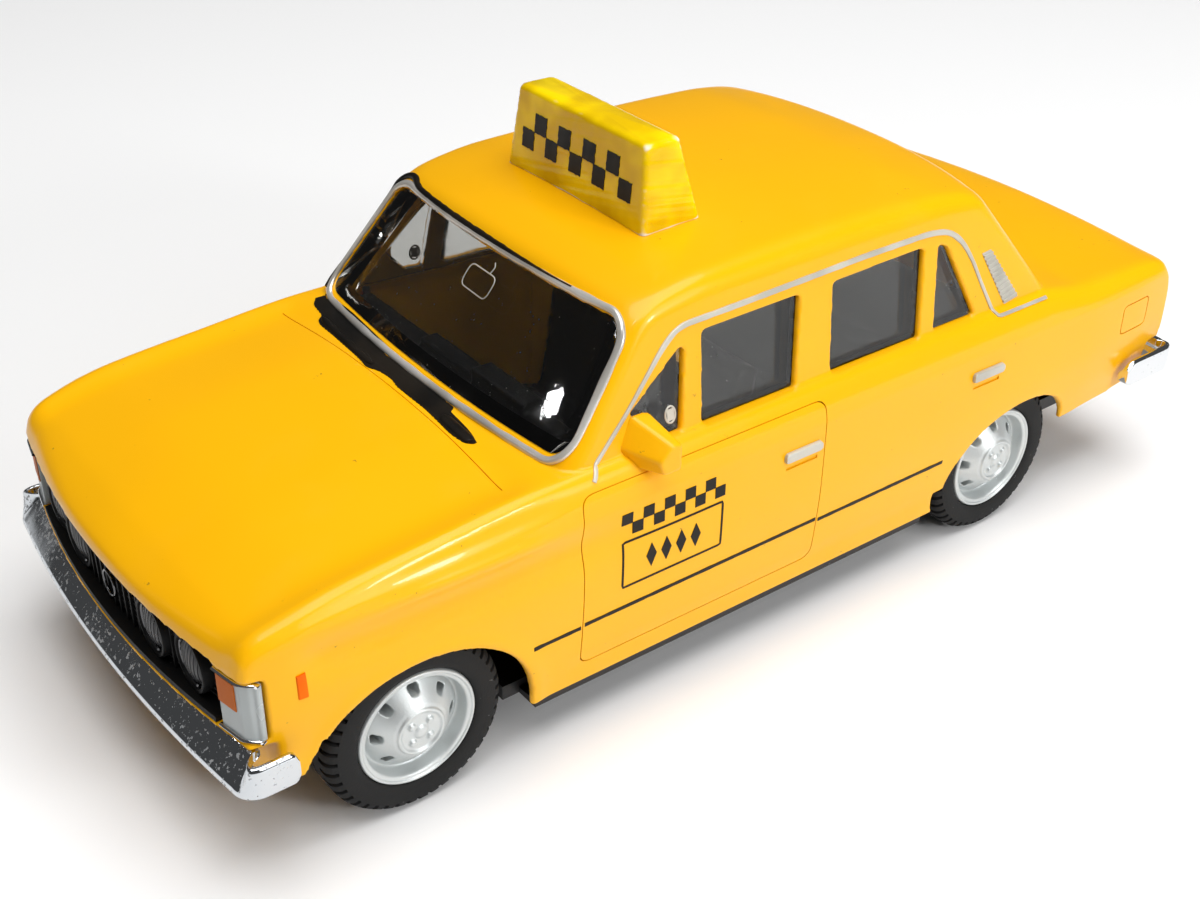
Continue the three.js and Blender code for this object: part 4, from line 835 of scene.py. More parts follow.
def lens(name, colour, roughness=0.08, clear=0.75, shine=0.5):
    """Moulded lamp cover, more or less clear."""
    finish, tree, inputs = new_finish(name, colour, roughness, Transmission_Weight=clear, IOR=PLASTIC_IOR,
                                      Specular_IOR_Level=shine)
    grain = use(tree, GRAIN, Scale=2500.0)
    paler = tuple(min(1, c * 1.4 + 0.01) for c in colour)
    feed(tree, blend_colours(tree, grain["Tone"], colour, paler), inputs["Base Color"])
    feed(tree, spread_value(tree, grain["Tone"], roughness, roughness * 2.5), inputs["Roughness"])
    add_bump(tree, inputs, grain["Height"], 0.00003, 0.3)
    return finish


def brushed_enamel(name, thick, thin, roughness, edge_colour=None, depth=0.00006, metallic=0.0, gloss=0.1,
                   shine=0.3):
    """Hand-brushed paint in thick and thin patches, turned to an edge colour on its sharpest edges if one is given.
    """
    finish, tree, inputs = new_finish(name, thick, roughness, metallic, Coat_Weight=gloss,
                                      Coat_Roughness=0.06, Specular_IOR_Level=shine)
    patch = noise(tree, 210.0)
    ripple = use(tree, RIPPLE, Wave_Scale=260.0, Peel_Scale=900.0)
    colour = blend_colours(tree, banded(tree, patch, 0.35, 0.65), thick, thin)
    if edge_colour:
        edge_pale = use(tree, SHARP_EDGES, Threshold=0.565, Break_Scale=420.0)
        colour = blend_colours(tree, edge_pale["Mask"], colour, edge_colour)
    feed(tree, colour, inputs["Base Color"])
    feed(tree, spread_value(tree, patch, roughness * 0.7, roughness * 1.3), inputs["Roughness"])
    add_bump(tree, inputs, math_node(tree, "ADD", ripple["Height"], patch), depth, 0.5)
    return finish


YELLOW = yellow_enamel()
GLASS = window_plastic()
BLACK_PLASTIC = grained("black_plastic", (0.009, 0.009, 0.01), (0.017, 0.017, 0.018), 0.42, 3500.0,
                        Specular_IOR_Level=0.35)
RUBBER = grained("tyre_rubber", (0.008, 0.008, 0.008), (0.015, 0.015, 0.015), 0.7, 5000.0, depth=0.00005,
                 Specular_IOR_Level=0.25)
RIM_SILVER = grained("rim_silver", (0.55, 0.58, 0.58), (0.68, 0.71, 0.71), 0.42, 6000.0, metallic=0.6)
STEEL = grained("bright_steel", (0.5, 0.5, 0.5), (0.62, 0.61, 0.6), 0.3, 3000.0, metallic=1.0)
NYLON = grained("white_nylon", (0.78, 0.76, 0.7), (0.85, 0.83, 0.78), 0.45, 2500.0)
CHROME = plated("bright_plating", 0.88, 0.12)
# Front bumper: dust specks, plus a darker base than the rear bumper's, which is a painted dark reflection on its
# face.
DUSTY_DIMMED_CHROME = plated("dusty_plating_with_painted_dark_reflection", 0.78, 0.2, (0.62, 0.65, 0.68))
# Near-black plating of the headlamp rims and grille ring: painted shade of the recess under the hood lip.
SHADED_CHROME = plated("plating_with_painted_shade", 0.86, 0.3, (0.12, 0.12, 0.125))
# Grille black, darker than the other black plastic: painted shade of the recess under the hood lip.
SHADED_GRILLE_BLACK = grained("grille_black_with_painted_shade", (0.004, 0.004, 0.0045), (0.008, 0.008, 0.008), 0.5, 3500.0,
                       Specular_IOR_Level=0.15)
CLEAR_LENS = lens("clear_lens", (0.42, 0.45, 0.45), 0.14, 0.2)
# Near-black headlamp lenses: painted shade of the recess under the hood lip.
SHADED_LENS = lens("lens_with_painted_shade", (0.02, 0.02, 0.022), 0.16, 0.2, 0.25)
ORANGE_LENS = lens("orange_lens", (0.45, 0.1, 0.002), 0.3, 0.0, 0.15)
RED_LENS = lens("red_lens", (0.55, 0.01, 0.01))
# The sign's sharpest edges turn a pale off-white.
SIGN_PAINT = brushed_enamel("sign_lemon", (0.74, 0.47, 0.0), (0.98, 0.7, 0.0), 0.2, (0.85, 0.83, 0.76),
                            0.00008, gloss=0.15, shine=0.15)
SILVER_PAINT = brushed_enamel("silver_brushed", (0.44, 0.42, 0.37), (0.56, 0.54, 0.48), 0.38, metallic=0.2)
SILVER_BEAD = brushed_enamel("silver_bead", (0.52, 0.5, 0.46), (0.72, 0.7, 0.66), 0.24, metallic=0.45,
                             gloss=0.3)
BLACK_PAINT = brushed_enamel("black_brushed", (0.004, 0.0035, 0.003), (0.011, 0.008, 0.005), 0.4, gloss=0.0,
                             shine=0.2)
ORANGE_PAINT = brushed_enamel("orange_brushed", (0.8, 0.12, 0.0), (0.95, 0.17, 0.0), 0.5, gloss=0.0,
                              shine=0.1)


# Body surfaces
FRONT_ARCH_SHIFT = 0.3
FRONT_ARCH_LONG = 10.4
FRONT_ARCH_HIGH = 9.2
FRONT_ARCH_Z = 6.2
ARCH_LIP = 0.22
HOLLOW_DEPTH = 0.65
HOLLOW_DROP = 2.6
HOLLOW_WIDTH = 1.5
CREASE_PROUD = 0.22
CREASE_WIDTH = 0.6
SILL_GROOVE = 0.12
RING_STEPS = (10, 8, 20, 8, 8, 6, 8, 10, 14)
CREASE_AT = 3
CREST_AT = 5
CREASE_SHARPNESS = 0.8
CREST_SHARPNESS = 0.7
WING_FLATTEN = 0.13
CAP_COLUMNS = 33


def wing_length(x):
    """One along the front wing, falling to nothing at the door and before the lamps."""
    return ramp(x, DOOR_FRONT_X - 1, DOOR_FRONT_X + 7) * (1 - ramp(x, NOSE_X - 20, NOSE_X - 9))


def side_shape(x, z):
    """How far the side stands in: hollow under the wing crease, lip at the front arch, line over the sill."""
    wing = ramp(x, DOOR_FRONT_X - 10, DOOR_FRONT_X + 6) * (1 - ramp(x, NOSE_X - 9, NOSE_X - 4))
    hollow = HOLLOW_DEPTH * wing * bump_of(z, CREASE_Z - HOLLOW_DROP, HOLLOW_WIDTH)
    from_arch = np.hypot((x - FRONT_AXLE_X + FRONT_ARCH_SHIFT) / FRONT_ARCH_LONG,
                         (z - FRONT_ARCH_Z) / FRONT_ARCH_HIGH)
    lip = ARCH_LIP * bump_of(from_arch, 1.06, 0.06)
    sill = SILL_GROOVE * bump_of(z, SILL_Z + 2.2, 0.35) * ramp(x, REAR_AXLE_X + 9, REAR_AXLE_X + 14)
    sill = sill * (1 - ramp(x, FRONT_AXLE_X - 16, FRONT_AXLE_X - 13))
    crease = CREASE_PROUD * wing_length(x) * bump_of(z, CREASE_Z - 0.3, CREASE_WIDTH)
    return hollow - lip + sill - crease


def half_rings(xs, inset, foot):
    """Half sections of the lower body at each station, from the sill up and in to the middle."""
    side = side_half(xs) - inset
    crest = crest_half(xs) - inset
    top = crest_height(xs) - inset
    deck = deck_height(xs) - inset
    crease = np.minimum(CREASE_Z, top - 1.4)
    valley = HOOD_VALLEY * ramp(xs, SCREEN_FOOT_X, SCREEN_FOOT_X + 3)
    wing = wing_length(xs)
    shoulder = crest + (0.7 - WING_FLATTEN * wing) * (side - 0.1 - crest)
    fold = np.full(len(xs), HOOD_FOLD_Y)
    ys = [side - 0.8, side - 0.2, side, side - 0.1, shoulder, crest + 0.25 * (side - crest),
          crest - 0.4, crest - 3, fold, np.zeros(len(xs))]
    zs = [foot, foot + 0.35 * (crease - foot), foot + 0.62 * (crease - foot), crease,
          crease + 0.55 * (top - crease), crease + 0.9 * (top - crease), top,
          top - valley + 0.15 * (deck - top), deck - 0.12, deck]
    points = np.stack([np.stack(ys, 1), np.stack(zs, 1)], 2)
    spans = len(RING_STEPS)
    at = np.concatenate([i + np.arange(n) / n for i, n in enumerate(RING_STEPS)] + [[spans - 1e-9]])
    smooth = through(points, at)
    i = np.clip(at.astype(int), 0, spans - 1)
    t = (at - i)[None, :, None]
    straight = points[:, i] * (1 - t) + points[:, i + 1] * t
    creased = CREASE_SHARPNESS * bump_of(at, CREASE_AT, 0.5)
    creased = creased + CREST_SHARPNESS * wing[:, None] * bump_of(at, CREST_AT, 0.45)
    return smooth + (straight - smooth) * creased[:, :, None]


def lower_body(xs, inset, foot, shaped):
    """Lower body between its first and last station, its ends closed by swept faces."""
    halves = half_rings(xs, inset, foot)
    if shaped:
        upright = ramp(halves[:, :, 0], CREST_HALF - 1, CREST_HALF + 0.5)
        halves[:, :, 0] -= side_shape(xs[:, None], halves[:, :, 1]) * upright
    rows = []
    for x, half in zip(xs, halves):
        y, z = half[:, 0], half[:, 1]
        left = np.stack([swept(x, y), y, z], 1)
        right = np.stack([swept(x, y), -y, z], 1)[-2::-1]
        rows.append(np.concatenate([left, right]))
    rows = np.array(rows)
    count, ring = rows.shape[:2]
    points = [rows.reshape(-1, 3)]
    faces = ring_faces(count, ring)
    total = count * ring
    wide = CAP_COLUMNS
    across = np.linspace(1, -1, wide)
    for x, half in ((xs[0], halves[0]), (xs[-1], halves[-1])):
        y = half[:, :1] * across
        cap = np.stack([swept(x, y), y, np.repeat(half[:, 1:], wide, axis=1)], 2)
        faces.append([total, total + wide - 1] + [total + 2 * wide - 1 - j for j in range(wide)])
        for i in range(1, len(half) - 1):
            for j in range(wide - 1):
                a = total + i * wide + j
                closing = i == len(half) - 2
                faces.append([a, a + 1, a + wide] if closing else [a, a + 1, a + wide + 1, a + wide])
        cap[-1, 1:] = cap[-1, 0]
        points.append(cap.reshape(-1, 3))
        total += cap.shape[0] * wide
    return patched_solid(np.concatenate(points), faces)


def cabin_ring(front, rear, half, front_bow, rear_bow):
    """Plan outline of the cabin: ends bowed, corners rounded."""
    straight = half - PILLAR_RADIUS
    ys = np.linspace(-straight, straight, 49)
    turn = np.linspace(0, math.pi / 2, 10)[1:-1]
    front_corner = front - front_bow * (straight / half) ** 2 - PILLAR_RADIUS
    rear_corner = rear + rear_bow * (straight / half) ** 2 + PILLAR_RADIUS
    along = np.linspace(front_corner, rear_corner, 61)
    bent = straight + PILLAR_RADIUS * np.sin(turn)
    reach = PILLAR_RADIUS * np.cos(turn)
    side = np.full(len(along), half)
    parts = [
        (front - front_bow * (ys / half) ** 2, ys), (front_corner + reach, bent), (along, side),
        (rear_corner - reach[::-1], bent[::-1]), (rear + rear_bow * (ys / half) ** 2, -ys),
        (rear_corner - reach, -bent), (along[::-1], -side), (front_corner + reach[::-1], -bent[::-1])]
    return np.concatenate([np.stack(p, 1) for p in parts])


def on_roof(plan, inset):
    """Plan points lifted to the roof, less an inset."""
    return np.column_stack([plan, roof_line(plan[:, 0]) - roof_fall(plan[:, 1]) - inset])


RAKE_SHARE = 1.25
ROOF_POLE = 0.985


def cabin(inset, foot_z):
    """Cabin block from below the belt to the roof; an inset makes the cavity and the glazing."""
    rake = RAKE_SHARE * inset
    head = cabin_ring(SCREEN_HEAD_X - rake, BACKLIGHT_HEAD_X + rake, ROOF_HALF - inset, SCREEN_BOW / 2,
                      BACKLIGHT_BOW)
    belt = cabin_ring(SCREEN_FOOT_X - rake, BACKLIGHT_FOOT_X + rake, CABIN_HALF - inset, SCREEN_BOW,
                      BACKLIGHT_BOW)
    head = on_roof(head, inset)
    belt = np.column_stack([belt, np.full(len(belt), BELT_Z)])
    share = ((foot_z - BELT_Z) / (head[:, 2] - BELT_Z))[:, None]
    foot = belt + (head - belt) * share
    centre = np.array([(SCREEN_HEAD_X + BACKLIGHT_HEAD_X) / 2, 0])
    side = np.minimum(1, np.abs(head[:, 1]) / (ROOF_HALF - inset)) ** 6
    turn = (ROOF_ROUND_END + (ROOF_ROUND_SIDE - ROOF_ROUND_END) * side)[:, None]
    wall_top = head + (foot - head) * turn / np.linalg.norm(foot - head, axis=1)[:, None]
    start = turn / np.linalg.norm(head[:, :2] - centre, axis=1)[:, None]

    def inner(shares):
        return on_roof(head[:, :2] + (centre - head[:, :2]) * shares, inset)

    edge = inner(start)
    rows = [foot + (wall_top - foot) * t for t in np.linspace(0, 1, 9)]
    for t in np.linspace(0, 1, 9)[1:]:
        rows.append((1 - t) ** 2 * wall_top + 2 * t * (1 - t) * head + t * t * edge)
    rows += [inner(start + (ROOF_POLE - start) * t) for t in np.linspace(0, 1, 18)[1:]]
    return loft(rows)


def stations(low, high):
    """Places along the body, closer together towards both ends."""
    fine = np.array([0, 0.08, 0.2, 0.35, 0.5, 0.75, 1.0, 1.4, 1.8, 2.3, 2.8])
    main = np.arange(low + 3.4, high - 3.0, 0.6)
    return np.concatenate([low + fine, main, (high - fine)[::-1]])[::-1]


BODY_STATIONS = stations(TAIL_X, NOSE_X)
LOWER = lower_body(BODY_STATIONS, 0, foot_height(BODY_STATIONS), True)
CABIN = cabin(0, BELT_Z - 1.5)
ON_BODY = (tree_of(LOWER),)
ON_CABIN = (tree_of(CABIN),)
ON_BOTH = ON_BODY + ON_CABIN
DRAWN_SKINS = (Skin(LOWER.copy()), Skin(CABIN.copy()))


def onto(trees, origin, direction):
    """First point and normal met from an origin, over one or more surfaces."""
    best = None
    for tree in trees:
        spot, facing, _, away = tree.ray_cast(Vector(origin), Vector(direction))
        if spot is not None and (best is None or away < best[2]):
            best = (np.array(spot), np.array(facing), away)
    return best[0], best[1]


def met(trees, origins, direction):
    """Points and normals met from each origin along one direction."""
    found = [onto(trees, origin, direction) for origin in origins]
    return np.array([f[0] for f in found]), np.array([f[1] for f in found])


def on_side(points, sign, trees=ON_BODY):
    """Points (x, z) carried across onto the side of the car."""
    return met(trees, [(x, sign * FAR, z) for x, z in points], (0, -sign, 0))


def on_top(points, trees=ON_BOTH):
    """Points (x, y) dropped onto the car from above."""
    return met(trees, [(x, y, FAR) for x, y in points], (0, 0, -1))


def on_end(points, sign, trees=ON_BODY):
    """Points (y, z) carried along onto the front or the back of the car."""
    return met(trees, [(sign * 2 * FAR, y, z) for y, z in points], (-sign, 0, 0))


# Openings
VENT_WINDOW = [(DOOR_FRONT_X - 6.4, 28.6), (DOOR_FRONT_X - 9.4, 25.6), (DOOR_FRONT_X - 11.4, 25.6),
               (DOOR_FRONT_X - 12.4, 33.0)]
DOOR_WINDOW = [(DOOR_FRONT_X - 14.4, 33.4), (DOOR_FRONT_X - 13.7, 25.4), (DOOR_REAR_X + 2.5, 25.4),
               (DOOR_REAR_X + 1.4, 33.5)]
REAR_WINDOW = [(DOOR_REAR_X - 2.6, 33.5), (DOOR_REAR_X - 1.8, 25.4), (DOOR_REAR_X - 12.9, 25.4),
               (DOOR_REAR_X - 13.8, 33.6)]
QUARTER_WINDOW = [(DOOR_REAR_X - 15.8, 33.4), (DOOR_REAR_X - 15, 25.5), (DOOR_REAR_X - 20.5, 25.5),
                  (DOOR_REAR_X - 16.9, 33.0)]
SIDE_WINDOWS = (VENT_WINDOW, DOOR_WINDOW, REAR_WINDOW, QUARTER_WINDOW)
WINDOW_CORNER = 0.28
WINDSCREEN = rounded([(-18.8, 26.15), (18.8, 26.15), (17, 35.6), (-17, 35.6)], 2.0, 10)
BACKLIGHT = rounded([(-16, 26.6), (16, 26.6), (14.4, 35), (-14.4, 35)], 2, 10)
DOOR_CORNERS = [(DOOR_FRONT_X, DOOR_FOOT_Z), (DOOR_FRONT_X, DOOR_HEAD_Z), (DOOR_REAR_X, DOOR_HEAD_Z),
                (DOOR_REAR_X, DOOR_FOOT_Z)]
REAR_ARCH = [(8.6, 4), (7.9, 7.2), (6.2, 10.4), (2.8, 13), (-2, 14.2), (-6.4, 13.6), (-9.2, 11.4), (-9.8, 8)]
WHEEL_WELL_RADIUS = 9.1
PART_SLIP = 0.18
BUMPER_SEAT = 2.1
CLEAR_OF_TIP = -4


def door_outline(gap):
    towards = [(-gap, gap), (-gap, -gap), (gap, -gap), (gap, gap)]
    return rounded([(x + dx, z + dz) for (x, z), (dx, dz) in zip(DOOR_CORNERS, towards)], 1.2)


def front_arch():
    middle = FRONT_AXLE_X - FRONT_ARCH_SHIFT
    turn = np.linspace(0, math.pi, 60)
    along = middle + FRONT_ARCH_LONG * np.cos(turn)
    top = np.stack([along, FRONT_ARCH_Z + FRONT_ARCH_HIGH * np.sin(turn)], 1)
    return np.concatenate([top, [(middle - FRONT_ARCH_LONG, -FAR), (middle + FRONT_ARCH_LONG, -FAR)]])


def rear_arch():
    top = flowing(REAR_ARCH, 60)
    feet = [(REAR_ARCH[-1][0], -FAR), (REAR_ARCH[0][0], -FAR)]
    return np.concatenate([top, feet]) + np.array([REAR_AXLE_X, 0])


def end_strip(end, near, far, half_low, half_high, steps=40):
    """Plan strip that follows the sweep of the nose (1) or the tail (-1) between two set-backs."""
    ys = np.linspace(half_low, half_high, steps)
    tip = NOSE_X if end > 0 else TAIL_X
    sweep = nose_sweep(ys) if end > 0 else tail_sweep(ys)
    line = [np.stack([tip - end * (d + sweep), ys], 1) for d in (near, far)]
    return np.concatenate([line[0], line[1][::-1]])


def window_fills(slip):
    """Prisms through the side windows, and through both end windows, made smaller by a slip."""
    sides = [prism(grown(rounded(w, WINDOW_CORNER), -slip), "Y", -FAR, FAR) for w in SIDE_WINDOWS]
    ends = [prism(grown(WINDSCREEN, -slip), "X", SCREEN_HEAD_X - 8, SCREEN_FOOT_X + 2),
            prism(grown(BACKLIGHT, -slip), "X", BACKLIGHT_FOOT_X - 3, BACKLIGHT_HEAD_X + 6)]
    return sides, ends


def body_cuts():
    sides, ends = window_fills(0.0)
    cuts = sides + ends
    cuts.append(prism(front_arch(), "Y", -FAR, FAR))
    cuts.append(prism(rear_arch(), "Y", -FAR, FAR))
    for x in (FRONT_AXLE_X, REAR_AXLE_X):
        turn = full_turn(72)
        disc = np.stack([x + WHEEL_WELL_RADIUS * np.cos(turn), AXLE_Z + WHEEL_WELL_RADIUS * np.sin(turn)], 1)
        cuts.append(prism(disc, "Y", -WHEEL_FACE_Y - 0.6, WHEEL_FACE_Y + 0.6))
    edge = GRILLE_HALF + 0.3
    cuts.append(prism(end_strip(1, CLEAR_OF_TIP, GRILLE_RECESS, -edge, edge), "Z", GRILLE_FOOT_Z - PART_SLIP,
                      GRILLE_HEAD_Z + LIP_RISE))
    lamp_back = box_mm("left_corner_lamp")[0][0]
    cuts += both_sides(block((lamp_back - PART_SLIP, edge, GRILLE_FOOT_Z - PART_SLIP),
                             (FAR, FAR, GRILLE_HEAD_Z + PART_SLIP)))
    low, high = box_mm("left_tail_lamp")
    cuts += both_sides(prism(end_strip(-1, CLEAR_OF_TIP, 1.4, low[1] - PART_SLIP, high[1] + PART_SLIP), "Z",
                             low[2] - PART_SLIP, high[2] + PART_SLIP))
    for end, bumper in ((1, "front_bumper"), (-1, "rear_bumper")):
        top = box_mm(bumper)[1][2] + 0.2
        seat = end_strip(end, CLEAR_OF_TIP, BUMPER_SEAT, -SIDE_HALF, SIDE_HALF)
        cuts.append(prism(seat, "Z", -FAR, top))
    return cuts


def shut_line(path, normals, width, depth, closed=False):
    """Cutter for a fine groove along a path on the skin."""
    return bar(path, normals, bar_section(width, -depth, 0.4), closed)


# Casting
HANDLES = {"front": (1.5, -2.8), "rear": (-22.6, -26.8)}
HANDLE_Z = 20.0
HANDLE_GROOVE_DROP = 1.15
FLAP_CORNERS = [(-45.5, 17.4), (-45.5, 20.6), (-49.9, 20.6), (-49.9, 17.4)]
HOOD_LINE_X = 27.7
HOOD_LINE_HALF = 18.2
HOOD_LINE_BOW = 0.7
SHELL_VOXEL = 0.26


def hood_line():
    ys = np.linspace(-HOOD_LINE_HALF, HOOD_LINE_HALF, 50)
    return on_top(np.stack([HOOD_LINE_X + HOOD_LINE_BOW * (ys / HOOD_LINE_HALF) ** 2, ys], 1), ON_BODY)


def handle_groove(end, sign):
    x0, x1 = HANDLES[end]
    z = HANDLE_Z - HANDLE_GROOVE_DROP
    return shut_line(*on_side(np.linspace((x0 - 0.3, z), (x1 + 0.3, z), 12), sign), 0.35, 0.14)


def make_shell():
    """Whole casting before the doors are cut out of it."""
    inner_stations = np.linspace(TAIL_X + 4, NOSE_X - 5.8, 90)[::-1]
    lower_inner = lower_body(inner_stations, WALL, np.full(90, -20.0), False)
    shell = carved(LOWER, [lower_inner, cabin(WALL, BELT_Z - 4)] + body_cuts(), [CABIN])
    return softened(shell, SHELL_VOXEL, 0.36, 7, 180000)


def make_body(shell):
    cuts = both_sides(prism(door_outline(0), "Y", DOOR_INNER_Y, FAR))
    cuts.append(shut_line(*hood_line(), 0.1, 0.2))
    cuts += [handle_groove("rear", sign) for sign in SIDES.values()]
    flap = evenly(rounded(FLAP_CORNERS, 0.6), 0.3, True)
    cuts.append(shut_line(*on_side(flap, 1), 0.14, 0.2, True))
    return carved(shell, cuts)


def make_door(shell):
    panel = carved(shell, [handle_groove("front", 1)],
                   overlap=prism(door_outline(DOOR_SHUT_GAP), "Y", DOOR_INNER_Y, FAR))
    knuckles = [block((HINGE_X - 1.1, HINGE_Y - 0.8, z), (HINGE_X + 1.1, HINGE_Y + 1.2, z + 3))
                for z in (DOOR_FOOT_Z + 1.4, DOOR_HEAD_Z - 5.2)]
    return carved(panel, joins=knuckles)


def make_casting():
    shell = make_shell()
    door = make_door(shell.copy())
    for side, sign in SIDES.items():
        node = f"{side}_door"
        settle_facing(place(f"{side}_door_skin", sided(door, sign), YELLOW, node, node), DRAWN_SKINS)
    settle_facing(place("body_skin", make_body(shell), YELLOW, "body_shell"), DRAWN_SKINS)


make_casting()


# Glazing
GLASS_OUTER = 1.6
GLASS_THICK = 0.9
PANE_SINK = 0.45
SCREEN_SINK = 0.15
PANE_SLIP = 0.08
ON_PANES = (tree_of(cabin(PANE_SINK, BELT_Z + 0.1)),)
ON_SCREEN = (tree_of(cabin(SCREEN_SINK, BELT_Z + 0.1)),)


def make_glazing():
    """Clear moulding whose panes stand up into the window openings."""
    shell = carved(cabin(GLASS_OUTER, BELT_Z + 0.1), [cabin(GLASS_OUTER + GLASS_THICK, BELT_Z - 2)])
    core = cabin(GLASS_OUTER + 0.3, BELT_Z - 4)
    panes = []
    for fills, sink in zip(window_fills(PANE_SLIP), (PANE_SINK, SCREEN_SINK)):
        skin = cabin(sink, BELT_Z - 3)
        panes += [carved(fill, [core.copy()], overlap=skin.copy()) for fill in fills]
    place("cabin_glazing", carved(shell, joins=panes), GLASS, "glazing", sharp=50)


make_glazing()


# Wheels
TREAD_BLOCKS = 45
TREAD_STEPS = 8
TREAD_GAP_STEPS = 2
TREAD_DEPTH = 0.36
NOTCH_SIDE_SHARE = 0.6
FACE_SWELL = 0.3
RIM_SWELL = 0.5
RIM_LIP = [
    (5.4, -0.9), (5.4, -0.3), (5.36, -0.1), (5.26, 0), (5.14, 0), (5.06, -0.1), (5.02, -0.3), (4.95, -0.3),
    (4.9, -0.16), (4.78, -0.16), (4.7, -0.3), (4.66, -0.5), (4.6, -1.0), (4.5, -1.42), (4.36, -1.5),
    (4.24, -1.4)]
RIM_DISC = [
    (4.16, -1.3), (4.0, -1.12), (3.6, -0.77), (3.0, -0.25), (2.5, 0.16), (2.32, 0.26), (2.24, 0.24),
    (2.16, 0.46), (2.06, 0.54), (1.93, 0.54), (1.85, 0.42), (1.8, 0.3), (1.6, 0.3), (0.62, 0.34),
    (0.54, 0.5), (0.36, 0.56), (0, 0.58)]
RIM_VENT = [(3.05, -0.38), (3.85, -0.5), (3.85, 0.5), (3.05, 0.38)]
VENT_COUNT = 8
NUT_COUNT = 4
NUT_CIRCLE = 1.15
NUT_RADIUS = 0.32


def tyre_flank(face):
    """Half of the tyre's section as (radius, side, notched) from the bead to the tread's middle groove."""
    r = AXLE_Z
    return [
        (RIM_RADIUS - 0.1, 2.2, 0), (RIM_RADIUS + 0.1, face - 0.2, 0), (RIM_RADIUS + 0.3, face - 0.06, 0),
        (6.1, face, 0), (6.8, face, 0), (7.2, face - 0.04, 0), (7.3, face - 0.06, 0), (7.36, face - 0.08, 1),
        (7.6, face - 0.17, 1), (7.82, face - 0.34, 1), (8.0, face - 0.6, 1), (r - 0.03, face - 0.85, 1),
        (r, face - 1.15, 1), (r, face - 1.6, 1), (r, face - 1.7, 0), (r, 0.25, 0), (r - 0.25, 0.18, 0)]


def tyre_mesh():
    """Tyre at the origin, outer face towards +Y, with notched shoulders."""
    half = TYRE_WIDTH / 2
    inner = [(a, -b, c) for a, b, c in tyre_flank(half)[::-1]]
    profile = np.array(tyre_flank(half + FACE_SWELL) + [(AXLE_Z - 0.25, 0.0, 0)] + inner)
    rows = []
    count = TREAD_BLOCKS * TREAD_STEPS
    for k in range(count):
        a = 2 * math.pi * k / count
        notch = TREAD_DEPTH if k % TREAD_STEPS < TREAD_GAP_STEPS else 0.0
        radius = profile[:, 0] - notch * profile[:, 2]
        side = profile[:, 1] - np.sign(profile[:, 1]) * notch * NOTCH_SIDE_SHARE * profile[:, 2]
        rows.append(np.stack([radius * np.cos(a), side, radius * np.sin(a)], 1))
    return hoop(rows)


def rim_mesh():
    """Pressed wheel at the origin, face towards +Y: stepped lip, deep channel, domed disc and hub ring."""
    face = RIM_FACE_Y + RIM_SWELL
    back = box_mm("front_left_rim")[0][1] - face
    hidden = [(0, -1.7), (1.2, -1.7), (1.2, back), (2.2, back), (2.2, -2.4), (4.5, -2.4), (4.5, back),
              (5.4, back)]
    wheel = turned([(r, face + h) for r, h in hidden + RIM_LIP + RIM_DISC], 120)
    vents = []
    for k in range(VENT_COUNT):
        a = 2 * math.pi * (k + 0.05) / VENT_COUNT
        spin = np.array([[math.cos(a), math.sin(a)], [-math.sin(a), math.cos(a)]])
        vents.append(prism(rounded(RIM_VENT, 0.26) @ spin, "Y", face - 3, face + 1))
    nuts = []
    for k in range(NUT_COUNT):
        a = 2 * math.pi * (k + 0.5) / NUT_COUNT
        x, z = NUT_CIRCLE * math.cos(a), NUT_CIRCLE * math.sin(a)
        hexagon = [(x + NUT_RADIUS * math.cos(b), z + NUT_RADIUS * math.sin(b)) for b in full_turn(6)]
        nuts.append(prism(hexagon, "Y", face, face + 0.6))
    return softened(carved(wheel, vents, nuts), 0.1, 0.14, 4, 44000)


def make_wheels():
    tyre = tyre_mesh()
    rim = rim_mesh()
    for end, x in (("front", FRONT_AXLE_X), ("rear", REAR_AXLE_X)):
        body = f"{end}_wheels"
        for side, sign in SIDES.items():
            wheel = f"{end}_{side}"
            flip = Matrix.Scale(sign, 4, (0, 1, 0))
            centre = Matrix.Translation((x, sign * (WHEEL_FACE_Y - TYRE_WIDTH / 2), AXLE_Z))
            hub = Matrix.Translation((x, 0, AXLE_Z))
            tread = moved(tyre, centre @ flip)
            place(f"{wheel}_tyre_tread", tread, RUBBER, f"{wheel}_tyre", body, 50)
            place(f"{wheel}_wheel", moved(rim, hub @ flip), RIM_SILVER, f"{wheel}_rim", body)


make_wheels()


# Bumpers
FRONT_BLADE = [
    (0, 0.1), (0, 0.62), (-1.85, 2.8), (-2.0, 2.95), (-2.65, 3.0), (-2.65, 2.3), (-1.4, 1.7), (-1.1, 0.1)]
REAR_BLADE = [
    (-0.1, 0), (0, 1.0), (-0.2, 2.3), (-0.7, 3.0), (-1.5, 3.0), (-1.5, 2.2), (-1.1, 1.8), (-1.1, 0)]
RETURN_BLADE = [
    (0, 0.1), (0.04, 1.1), (0, 2.7), (-0.2, 3.0), (-0.6, 3.0), (-0.7, 2.4), (-1.1, 1.7), (-1.1, 0.1)]
BUMPER_CORNER = 2.0
PEG_Y = 11.05
PEG_HALF = 0.8
PEG_DEEP = 4.5


def bumper_line(end, node, wrap, bow):
    """Plan path of a bumper's outer face from its right end round to its left end."""
    low, high = box_mm(node)
    reach = high[0] if end > 0 else -low[0]
    half = BUMPER_HALF
    straight = half - BUMPER_CORNER
    ys = np.linspace(-straight, straight, 80)
    face = np.stack([reach - bow * (ys / half) ** 2, ys], 1)
    turn = np.linspace(0, math.pi / 2, 14)[1:]
    cx = face[-1, 0] - BUMPER_CORNER
    bend = np.stack([cx + BUMPER_CORNER * np.cos(turn), straight + BUMPER_CORNER * np.sin(turn)], 1)
    side = np.stack([np.linspace(cx, reach - wrap, 12)[1:], np.full(11, half)], 1)
    left = np.concatenate([bend, side])
    right = (left * (1, -1))[::-1]
    path = np.concatenate([right, face, left])
    path[:, 0] *= end
    return path if end > 0 else path[::-1]


